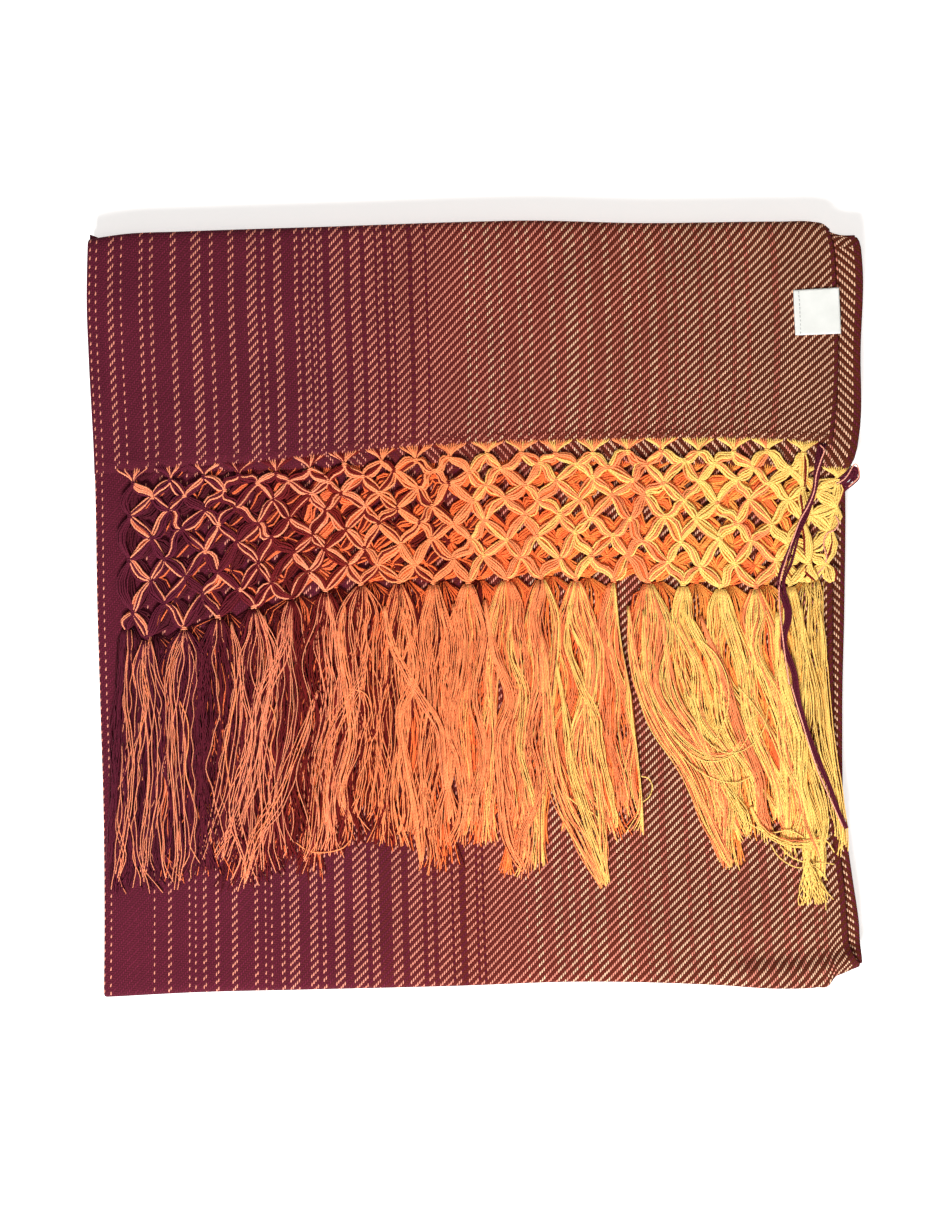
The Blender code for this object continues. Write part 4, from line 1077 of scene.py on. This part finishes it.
def leaves(net, start, end, half_groups, front, back, steps, sides, bulge=0.0):
    """Bundles of strands from knot to knot round a body of deeper ones, the strands behind and the body in
    darker tones of painted shade. A strand lies beside the middle line by its own share of w = knot width +
    (leaf width - knot width) * belly^0.6, with belly the sine from one neck to the other, over or under the
    line, with a slow twist. The middle line itself bows and curls, and the left edge is all plum."""
    count, strands = len(start), front + back
    t = 0.5 - 0.5 * np.cos(np.pi * np.linspace(0, 1, steps))
    level = NET_LEVEL[net]
    run = end - start
    length = np.linalg.norm(run, axis=1, keepdims=True)
    run = run / length
    aside = np.stack([-run[:, 1], run[:, 0]], -1)
    middle = start[:, None] + (end - start)[:, None] * t[:, None]
    belly = np.sin(np.pi * np.clip((t - 0.06) / 0.88, 0, 1))
    middle = middle + np.array([1.0, 0.0]) * (np.reshape(bulge, (-1, 1)) * belly)[..., None]
    bow = dice.normal(0, 0.0008, (count, 1)) * belly
    curl = dice.normal(0, 0.0006, (count, 1)) * np.sin(2 * np.pi * t)
    middle = middle + aside[:, None] * (bow + curl)[..., None]
    wide = LEAF_WIDTH[net] * dice.uniform(0.76, 1.14, (count, 1, 1))
    width = NECK_WIDTH + (wide - NECK_WIDTH) * belly[None, None] ** 0.6
    place = np.concatenate([np.linspace(-1, 1, front), np.linspace(-0.75, 0.75, back)])
    place = place + dice.normal(0, 0.07, (count, strands))
    split = dice.uniform(0, 0.30, (count, 1)) * (dice.random((count, 1)) < 0.35)
    place = place + split * np.sign(place)
    in_front = np.arange(strands) < front
    depth = np.where(in_front, 0.00034, -0.00036) + dice.normal(0, 0.00012, (count, strands))
    depth = depth + 0.0004 * (1 - place**2) * in_front
    twist = dice.uniform(-0.7, 0.7, (count, 1, 1)) * (t - 0.5)
    beside = place[..., None] * width
    beside = beside + dice.normal(0, 0.00028, (count, strands, 1)) * np.sin(2 * np.pi * t)
    over = depth[..., None] * (0.7 + 0.6 * belly)
    turned = beside * np.cos(twist) - over * np.sin(twist)
    raised = beside * np.sin(twist) + over * np.cos(twist)
    paths = np.empty((count, strands, steps, 3))
    paths[..., :2] = middle[:, None] + aside[:, None, None] * turned[..., None]
    sag = dice.uniform(-0.0002, 0.0006, (count, 1, 1))
    paths[..., 2] = level + raised + sag * belly
    ends = half_groups[:, None] * (GROUP_ENDS // 2) + np.arange(strands)[None] * (GROUP_ENDS // 2) // strands
    ends = np.take_along_axis(ends, np.argsort(dice.random((count, strands)), 1), 1)
    ends = np.where(np.reshape(bulge, (-1, 1)) < 0, GROUP_ENDS // 3, ends)
    colours = FRINGE_COLOURS[net][np.clip(ends, 0, ENDS - 1)] * dice.uniform(0.88, 1.08, (count, strands, 1))
    # Painted shade: the strands behind and the body take the darker tones, made 0.92 darker again
    inside = "inside" if net == "upper" else "under"
    shaded_colours = FRINGE_COLOURS[inside][np.clip(ends, 0, ENDS - 1)] * 0.92
    colours[:, front:] = shaded_colours[:, front:]
    body = np.concatenate([middle, np.full((count, steps, 1), level - 0.0004)], -1)
    body_radius = NECK_BODY + (LEAF_BODY - NECK_BODY) * (wide[:, 0] / LEAF_WIDTH[net]) * belly**0.6
    # The body's painted shade is the darker of its middle strand's shaded colour and the mean of them all
    body_shade_colour = shaded_colours[:, front // 2] * np.minimum(1, shaded_colours.mean(1) / np.maximum(shaded_colours[:, front // 2], 1e-6))
    return joined(
        [
            tubes(paths.reshape(-1, steps, 3), NET_RADIUS, sides, colours.reshape(-1, 3)),
            tubes(body, body_radius, 6, body_shade_colour),
        ]
    )


def wraps(net, places, half_groups, sides, steps=18):
    """The yarn wound round each knot: a helix of nearly three turns about the line of the warp, at
    (half width * cos, half depth * sin) of its angle."""
    count = len(places)
    t = np.linspace(0, 1, steps)
    turns = dice.uniform(2.3, 2.9, (count, 1))
    angle = 2 * np.pi * turns * t + dice.uniform(0, 6.28, (count, 1))
    lean = dice.uniform(-0.35, 0.35, (count, 1))
    half_width = dice.uniform(0.00105, 0.00135, (count, 1))
    paths = np.empty((count, steps, 3))
    paths[..., 0] = places[:, :1] + half_width * np.cos(angle)
    paths[..., 1] = places[:, 1:] + 0.0011 * (1 - 2 * t) + lean * half_width * np.cos(angle)
    paths[..., 2] = NET_LEVEL[net] + 0.0001 + 0.00105 * np.sin(angle)
    ends = half_groups * (GROUP_ENDS // 2) + dice.integers(0, GROUP_ENDS // 2, count)
    colours = FRINGE_COLOURS[net][np.clip(ends, 0, ENDS - 1)]
    return tubes(paths, YARN_RADIUS, sides, colours, up=(0.0, 1.0, 0.0))


def fans(net, sides, steps=8):
    """The warp as it leaves the cloth: each group's ends come out side by side and close in on its first
    knot, a strand's distance from the knot's line shrinking as 1 - smooth(t)."""
    groups = np.arange(GROUPS)
    knots = knot_place(net, groups, 1)
    strands = 14
    t = np.linspace(0, 1, steps)
    spread = np.linspace(-0.0080, 0.0080, strands)
    across = knots[:, None, :1] + spread[None, :, None]
    closing = 1 - smooth((t - 0.12) / 0.80)
    x = knots[:, None, :1] + spread[None, :, None] * (closing * 0.94 + 0.06)
    woven = line_at(WOVEN_ENDS[net], across) + 0.0016
    y = woven + (knots[:, None, 1:] - woven) * t
    bow = 0.0009 * np.abs(spread / spread[-1])[None, :, None] * np.sin(np.pi * t)
    z = HEADER_LEVEL[net] + (NET_LEVEL[net] - HEADER_LEVEL[net]) * t + 0.0006 * np.sin(np.pi * t)
    z = z + dice.normal(0, 0.00015, (GROUPS, strands, 1))
    paths = np.stack(np.broadcast_arrays(x, y + bow, z), -1)
    ends = groups[:, None] * GROUP_ENDS + np.arange(strands)[None] * GROUP_ENDS // strands
    colours = FRINGE_COLOURS[net][ends] * dice.uniform(0.92, 1.12, (GROUPS, strands, 1))
    return tubes(paths.reshape(-1, steps, 3), YARN_RADIUS, sides, colours.reshape(-1, 3))


def knotted_net(net, front, back, steps, sides):
    """One layer's net: the fans, the leaves from each row of knots to the next, the loops down both edges
    and the wraps."""
    starts, ends, halves, bulges = [], [], [], []
    for row in range(1, ROWS):
        groups = row_groups(row)
        here = knot_place(net, groups, row)
        for turn in (-0.5, 0.5):
            beyond = groups + turn
            inside = (beyond >= row_groups(row + 1)[0]) & (beyond <= row_groups(row + 1)[-1])
            whole = groups if row % 2 else beyond
            right_half = (turn > 0) == bool(row % 2)
            starts.append(here[inside])
            ends.append(knot_place(net, beyond[inside], row + 1))
            halves.append((2 * whole[inside] + right_half).astype(int))
            bulges.append(np.zeros(inside.sum()))
    for group, side, half in ((0, -1.0, 0), (GROUPS - 1, 1.0, 2 * GROUPS - 1)):
        for row in range(1, ROWS, 2):
            last = row + 2 > ROWS
            beyond = edge_tassel_root(net, group, side) if last else knot_place(net, group, row + 2)
            starts.append(knot_place(net, group, row)[None])
            ends.append(beyond[None])
            halves.append(np.array([half]))
            bulges.append(np.array([0.0 if last else side * EDGE_LOOP_BULGE[side]]))
    leaf = leaves(
        net, np.concatenate(starts), np.concatenate(ends), np.concatenate(halves), front, back, steps, sides,
        np.concatenate(bulges),
    )
    places = np.concatenate([knot_place(net, row_groups(row), row) for row in range(1, ROWS + 1)])
    half_groups = np.concatenate([(2 * row_groups(row)).astype(int) for row in range(1, ROWS + 1)])
    piece = yarn_piece(f"knotted_net_{net}", [fans(net, sides), leaf, wraps(net, places, half_groups, sides)])
    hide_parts(f"net_{net}")
    return piece


def tassel_roots(net):
    """Where each tassel starts in a net, from the left side of the fringe to the right."""
    roots = [edge_tassel_root(net, 0, -1.0)]
    roots += list(knot_place(net, row_groups(ROWS), ROWS) - np.array([0.0, KNOT_REACH]))
    roots.append(edge_tassel_root(net, GROUPS - 1, 1.0))
    return np.array(roots)


def from_line(distance):
    """A distance that never passes a line: within the squeeze, d becomes squeeze * exp(d / squeeze - 1)."""
    near = EDGE_SQUEEZE * np.exp(np.minimum(distance / EDGE_SQUEEZE, 1) - 1)
    return np.where(distance > EDGE_SQUEEZE, distance, near)


def held_within(x, y, number, ragged):
    """Keeps a tassel's strands inside the fringe's two sides and out of the bare wedge. Each strand stays
    short of the sides by its own ragged distance."""
    left = FRINGE_LEFT + 0.5 * ragged
    x = left + from_line(x - left)
    right = line_at(FRINGE_RIGHT, y) - ragged
    x = right - from_line(right - x)
    if number == PARTED_TASSEL - 1:
        side = line_at(PARTING_LEFT, y)
        x = side - from_line(side - x)
    if number == PARTED_TASSEL:
        side = line_at(PARTING_RIGHT, y)
        x = side + from_line(x - side)
    return x


def tassel_strands(number, net, roots, locks, strands, steps, sides, low, high):
    """One tassel's loose yarns. They hang in locks: a lock keeps its own place across the tassel's lane and
    waves as one, and its strands lie side by side in it, each with a slow drift and a fine crimp. A lock
    arches in the middle, draws in somewhere below its half and is brushed out at its tip."""
    root, tip = roots[number], np.array(TASSEL_TIPS[number])
    lines = [number + step for step in (-1, 1) if 0 <= number + step < len(roots)]
    room_top = min(abs(roots[other][0] - root[0]) for other in lines)
    room_tip = min(abs(TASSEL_TIPS[other][0] - tip[0]) for other in lines)
    late, narrow = TASSEL_HABITS.get(number, (0.0, 1.0))
    t = np.linspace(0, 1, steps)
    count = (locks, strands, 1)
    each = (locks, 1, 1)

    def wave(turns, size, shape):
        """A sine down the tassel with its own number of turns, size and start for each lock or strand."""
        phase = share * dice.uniform(*turns, shape) + dice.random(shape)
        return dice.uniform(*size, shape) * np.sin(2 * np.pi * phase)

    place = (np.linspace(-1, 1, locks) if locks > 1 else np.zeros(1)) + dice.normal(0, 0.14, locks)
    place = place[:, None, None]
    reach = dice.uniform(0.86, 1.0, each)
    reach[dice.integers(locks)] = 1.01
    share = t * (reach + dice.normal(0, 0.012, count))
    ease = smooth((share - 0.30 * late) / (1 - 0.45 * late))
    slant = 0.35 * (1 - late)
    x = root[0] + (tip[0] - root[0]) * (slant * share + (1 - slant) * ease)
    x = x + narrow * wave((0.9, 1.7), (0.0004, 0.0024), (1, 1, 1)) * smooth(share / 0.3)
    y = root[1] + (tip[1] - root[1]) * share
    opening = 1 - np.exp(-share / (dice.uniform(0.09, 0.14) if net == "upper" else 0.022))
    lane = narrow * (room_top + (min(room_tip, 0.021) - room_top) * share) / 2
    if net == "under":
        lane = lane * 1.2
    x = x + place * (0.0014 + (lane * 0.86 - 0.0014) * opening * (1 - 0.16 * share**3))
    x = x + narrow * wave((1.0, 2.8), (0.0010, 0.0034), each) * smooth(share / 0.16)
    own = np.linspace(-1, 1, strands)[None, :, None] + dice.normal(0, 0.10, count)
    sparse = number < SPARSE_TASSELS or number > GATHERED_TASSEL
    spread = (0.50, 0.85) if sparse else (0.30, 0.50)
    half = 0.0009 + (lane * dice.uniform(*spread, each) - 0.0009) * opening
    draw_place, draw = dice.uniform(0.55, 1.0, each), dice.uniform(0.15, 0.70, each)
    if number == GATHERED_TASSEL:
        draw_place, draw = 0.885, 0.78
        x = x - place * lane * 0.8 * np.exp(-(((share - draw_place) / 0.08) ** 2))
    draw = draw * np.exp(-(((share - draw_place) / 0.11) ** 2))
    brush = 1 + 0.9 * np.clip((share - 0.93 * reach) / 0.09, 0, 1)
    x = x + own * half * (1 - draw) * brush
    x = x + (1.8 if sparse else 1.0) * wave((0.7, 2.2), (0.0, 0.0008), count) * smooth(share / 0.35)
    x = x + (1.5 if sparse else 1.0) * wave((4.0, 8.0), (0.0001, 0.0005), count) * smooth(share / 0.10)
    x = held_within(x, y, number, dice.uniform(0.0, 0.0035, count))
    order = dice.permutation(locks)[:, None, None] / max(locks - 1, 1)
    level = PANEL_TOP + low + (high - low) * (0.62 * order + 0.18 * dice.random(count))
    level = level + (high - low) * 0.30 * (1 - own**2)
    first_end = (number - 1) * GROUP_ENDS + GROUP_ENDS // 2
    ends = first_end + np.floor((place * 0.42 + 0.5 + dice.uniform(-0.2, 0.2, count)) * GROUP_ENDS)
    ends = np.clip(ends, *TASSEL_ENDS).astype(int)
    tones = (FIRST_HALF if net == "upper" else SECOND_HALF)[ends]
    light_share = 0.54 + 0.41 * smooth((ends - 100) / 90) + 0.05 * smooth((ends - 180) / 60)
    light = (tones != "plum") & (dice.random(count) < light_share)
    level = level + (0.0007 if sparse else 0.0002) * light
    fall = np.exp(-share / 0.05)
    level = level * (1 - fall) + (NET_LEVEL[net] + dice.normal(0, 0.0004, count)) * fall
    level = level + wave((1.0, 3.0), (0.0, 0.0005), count)
    z = level - (level - PANEL_TOP - 0.0007) * smooth((share - 0.80) / 0.22) * 0.65
    z = np.maximum(z, PANEL_TOP + YARN_RADIUS + 0.0002)
    paths = np.stack(np.broadcast_arrays(x, y, z), -1).reshape(-1, steps, 3)
    first_plum = np.flatnonzero(FIRST_HALF[ends.min() :] == "plum")[0] + ends.min()
    ends = np.where(light | (tones == "plum"), ends, first_plum).reshape(-1)
    colours = FRINGE_COLOURS[net][ends]
    # Painted shade: upper strands that lie low in the tassel take the darker tones, turning to their own
    # colour the higher they lie
    if net == "upper":
        raised = np.clip((level.mean(-1) - PANEL_TOP - low) / (high - low), 0, 1).reshape(-1, 1)
        shaded_colours = FRINGE_COLOURS["inside"][ends]
        colours = shaded_colours + (colours - shaded_colours) * smooth(0.15 + 1.1 * raised)
    colours = colours * dice.uniform(0.86, 1.08, (len(ends), 1))
    colours = colours[:, None] * (1 + 0.10 * smooth((t - 0.9) / 0.1))[None, :, None]
    taper = 1 - 0.35 * smooth((t - 0.97) / 0.03)
    thickness = YARN_RADIUS * (1.25 if net == "under" and not sparse else 0.92)
    return tubes(paths, thickness * taper[None], sides, colours)


def tassel(number, upper_roots, under_roots):
    """A tassel of both nets' yarns, the upper one's lying on the under one's."""
    fullness = TASSEL_FULLNESS.get(number, TASSEL_STRANDS)
    halves = []
    for net, roots, strands in zip(("under", "upper"), (under_roots, upper_roots), fullness):
        locks, steps, sides, low, high = TASSEL_MAKE[net]
        halves.append(tassel_strands(number, net, roots, locks, strands, steps, sides, low, high))
    piece = yarn_piece(f"tassel_yarns_{number + 1:02d}", halves)
    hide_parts(f"tassel_{number + 1:02d}")
    return piece


def drawn_path(places, steps):
    """A smooth path through places given in the photograph's pixels and millimetres above the panel: in
    each span the Catmull-Rom cubic of the four places round it."""
    places = np.array(places, float)
    points = np.stack(
        [
            (places[:, 0] - PACKET_MIDDLE[0]) * PIXEL,
            (PACKET_MIDDLE[1] - places[:, 1]) * PIXEL,
            PANEL_TOP + places[:, 2] / 1000,
        ],
        -1,
    )
    before = np.concatenate([2 * points[:1] - points[1:2], points, 2 * points[-1:] - points[-2:-1]])
    position = np.linspace(0, len(points) - 1, steps)
    span = np.minimum(position.astype(int), len(points) - 2)
    t = (position - span)[:, None]
    a, b, c, d = (before[span + step] for step in range(4))
    return 0.5 * (2 * b + (c - a) * t + (2 * a - 5 * b + 4 * c - d) * t**2 + (3 * b - a - 3 * c + d) * t**3)


def sways(t, turns, strands):
    """For each strand a sine down its length, with its own number of turns and its own start."""
    return np.sin(2 * np.pi * (t * dice.uniform(*turns, (strands, 1)) + dice.random((strands, 1))))


def drawn_bundle(places, widths, strands, steps, colour, sides=4, radius=YARN_RADIUS * 0.84):
    """Strands side by side along a drawn path, spread over half widths that run straight between a row's."""
    middle = drawn_path(places, steps)
    run = np.gradient(middle, axis=0)
    aside = np.stack([-run[:, 1], run[:, 0], 0 * run[:, 0]], -1)
    aside /= np.linalg.norm(aside, axis=1, keepdims=True)
    t = np.linspace(0, 1, steps)
    half = np.interp(t, np.linspace(0, 1, len(widths)), widths)
    own = (np.linspace(-1, 1, strands) if strands > 1 else np.zeros(1))[:, None]
    own = own + 0.22 * sways(t, (1, 4), strands)
    paths = middle + aside * (own * half)[..., None]
    paths[..., 2] += 0.0003 * np.sin(7 * own) + dice.normal(0, 0.00012, (strands, 1))
    colours = np.array(colour) * dice.uniform(0.88, 1.06, (strands, 1))
    return tubes(paths, radius, sides, colours)


def top_lock(places, widths, strands, tone):
    """A lock on top of a tassel: its height above the panel is that of the net where it starts, then the
    tassel's top, then its tip's. Its yarns are those of the cloth's ends beside it."""
    t = np.linspace(0, 1, len(places))
    height = 3.9 - 1.2 * (1 - t) ** 4 - 2.6 * t**5
    path = drawn_path(np.column_stack([places, height]), 4 * TOP_LOCK_STEPS)
    dense = np.linspace(0, 1, 4 * TOP_LOCK_STEPS)
    reach = dice.uniform(0.94, 1.0, (strands, 1))
    t = np.linspace(0, 1, TOP_LOCK_STEPS) * reach
    middle = np.stack([np.interp(t, dense, path[:, axis]) for axis in range(3)], -1)
    run = np.gradient(middle, axis=1)[..., :2]
    run /= np.linalg.norm(run, axis=-1, keepdims=True)
    half = np.interp(t, np.linspace(0, 1, len(widths)), widths) * PIXEL
    own = np.linspace(-1, 1, strands)[:, None] + dice.normal(0, 0.12, (strands, 1))
    drift = 0.20 * sways(t, (0.7, 2.4), strands)
    crimp = dice.uniform(0.0001, 0.0004, (strands, 1))
    crimp = crimp * sways(t, (4, 8), strands)
    aside = (own + drift) * half + crimp
    ragged = dice.uniform(0.0, 0.003, (strands, 1))
    x = held_within(middle[..., 0] - run[..., 1] * aside, middle[..., 1], None, ragged)
    z = middle[..., 2] + 0.0005 * (1 - own**2) + dice.normal(0, 0.00015, (strands, 1))
    paths = np.stack([x, middle[..., 1] + run[..., 0] * aside, z], -1)
    end = int(end_at((places[0][0] - PACKET_MIDDLE[0]) * PIXEL))
    near = np.arange(max(end - TOP_LOCK_ENDS, 0), min(end + TOP_LOCK_ENDS, ENDS))
    wanted = FIRST_HALF[near] != "plum" if tone == "both" else FIRST_HALF[near] == tone
    colours = FRINGE_COLOURS["upper"][dice.choice(near[wanted], strands)]
    colours = colours * dice.uniform(0.90, 1.08, (strands, 1))
    return tubes(paths, YARN_RADIUS * 0.92, 3, colours)


def loose_yarns():
    """The yarns that leave their places: the locks on top, the selvedge's plum bundle and pink threads down
    the right side, and strays and loops over the tassels."""
    plum, orange, cream = (FRINGE_TONES[tone] for tone in ("plum", "orange", "cream"))
    bundles = [
        drawn_bundle(places, widths, strands, 14 * len(places) // 3, plum)
        for places, widths, strands in PLUM_BUNDLES
    ]
    bundles += [drawn_bundle(places, (0.0,), 1, 6 * len(places), PINK_YARN, 5) for places in PINK_THREADS]
    for places in STRAYS:
        shade = cream if places[0][0] > 500 else orange
        bundles.append(drawn_bundle(places, (0.0,), 1, 8 * len(places), shade, 5, YARN_RADIUS * 0.8))
    bundles += [top_lock(*lock) for lock in TOP_LOCKS]
    piece = yarn_piece("loose_yarns", bundles)
    return piece


def on_label(side, rise):
    """Across and up of places on the label, given from its middle along its own sides."""
    x = LABEL_CENTRE[0] + side * math.cos(LABEL_TILT) - rise * math.sin(LABEL_TILT)
    y = LABEL_CENTRE[1] + side * math.sin(LABEL_TILT) + rise * math.cos(LABEL_TILT)
    return x, y


def label():
    """The bare label: a thin plate, its right corners lifting."""
    columns, rows = 25, 25
    s, v = np.meshgrid(np.linspace(0, 1, columns), np.linspace(0, 1, rows))
    lift = 0.0006 * s**2 + 0.0005 * (s * (2 * v - 1)) ** 2 + 0.00012 * np.sin(7 * s + 5 * v)
    side = (s - 0.5) * LABEL_WIDTH * (1 + 0.012 * np.sin(3 * v))
    rise = (v - 0.5) * LABEL_HEIGHT * (1 + 0.02 * (s - 0.5))
    x, y = on_label(side, rise)
    z = FLAP_TOP + 0.0004 + lift
    points = settled(np.stack([x, y, z], -1))
    threads = np.stack([s * 150, v * 110], -1)
    tape = new_piece("sewn_label", points, [grid_quads(rows, columns)], LABEL, grid_corners(threads))
    wall = tape.modifiers.new("wall", "SOLIDIFY")
    wall.thickness = LABEL_THICKNESS
    wall.offset = 0.0
    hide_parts("label")
    return tape


def label_stitches():
    """A row of running stitches down the label's sewn side: each a short arc that dips into the tape."""
    count, steps = 11, 7
    t = np.linspace(0, 1, steps)
    along = (np.arange(count)[:, None] + 0.18 + 0.62 * t) / count - 0.5
    side = -LABEL_WIDTH / 2 + 0.0027 + dice.normal(0, 0.00012, (count, 1)) + 0 * t
    rise = along * LABEL_HEIGHT * 0.97
    x, y = on_label(side, rise)
    z = FLAP_TOP + 0.0005 + 0.00028 * np.sin(np.pi * t) + 0 * side
    paths = np.stack(np.broadcast_arrays(x, y, z), -1)
    colours = np.tile((0.42, 0.43, 0.42), (count, 1))
    piece = yarn_piece("label_stitches", [tubes(paths, 0.00016, 6, colours)], SEWING)
    return piece


def floor():
    """A plain pale floor, far wider than the view."""
    corners = FLOOR_REACH * np.array([(-1.0, -1.0, 0.0), (1.0, -1.0, 0.0), (1.0, 1.0, 0.0), (-1.0, 1.0, 0.0)])
    plane = new_piece("floor", corners - np.array([0, 0, FLOOR_DROP]), [np.array([[0, 1, 2, 3]])], CARD)


def camera():
    """Straight above, framed as the photograph: the long side of its frame spans the sensor."""
    middle = [(PHOTO_SIZE[0] / 2 - PACKET_MIDDLE[0]) * PIXEL, (PACKET_MIDDLE[1] - PHOTO_SIZE[1] / 2) * PIXEL]
    lens = bpy.data.cameras.new("camera")
    lens.sensor_width = SENSOR
    lens.lens = SENSOR * CAMERA_HEIGHT / (PHOTO_SIZE[1] * PIXEL)
    lens.clip_start, lens.clip_end = 0.05, 20.0
    eye = bpy.data.objects.new("camera", lens)
    eye.location = (*middle, PANEL_TOP + CAMERA_HEIGHT)
    bpy.context.scene.collection.objects.link(eye)
    bpy.context.scene.camera = eye


def lamp(name, place, size, watts, colour):
    """A square soft light at a place, turned to face the packet's middle."""
    light = bpy.data.lights.new(name, "AREA")
    light.size = size
    light.energy = watts
    light.color = colour
    holder = bpy.data.objects.new(name, light)
    holder.location = place
    x, y, z = place
    holder.rotation_euler = (math.atan2(math.hypot(x, y), z), 0.0, math.atan2(x, -y))
    bpy.context.scene.collection.objects.link(holder)


def lights():
    """Soft daylight from the photograph's lower edge, a weaker fill from above and a pale surround."""
    for row in LAMPS:
        lamp(*row)
    world = bpy.data.worlds.new("surround")
    world.use_nodes = True
    background = world.node_tree.nodes["Background"]
    background.inputs["Color"].default_value = SURROUND
    background.inputs["Strength"].default_value = SURROUND_STRENGTH
    bpy.context.scene.world = world
    bpy.context.scene.view_settings.view_transform = "Standard"


camera()
lights()
floor()
core = folded_core()
panel = top_panel()
flap = end_flap()
nets = [knotted_net(net, *make) for net, make in NET_MAKE.items()]
upper_roots, under_roots = tassel_roots("upper"), tassel_roots("under")
tassels = [tassel(number, upper_roots, under_roots) for number in range(len(TASSEL_TIPS))]
strays = loose_yarns()
tape = label()
stitches = label_stitches()

for piece in (core, panel, flap, *nets, *tassels, strays, tape, stitches):
    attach(piece, "root")
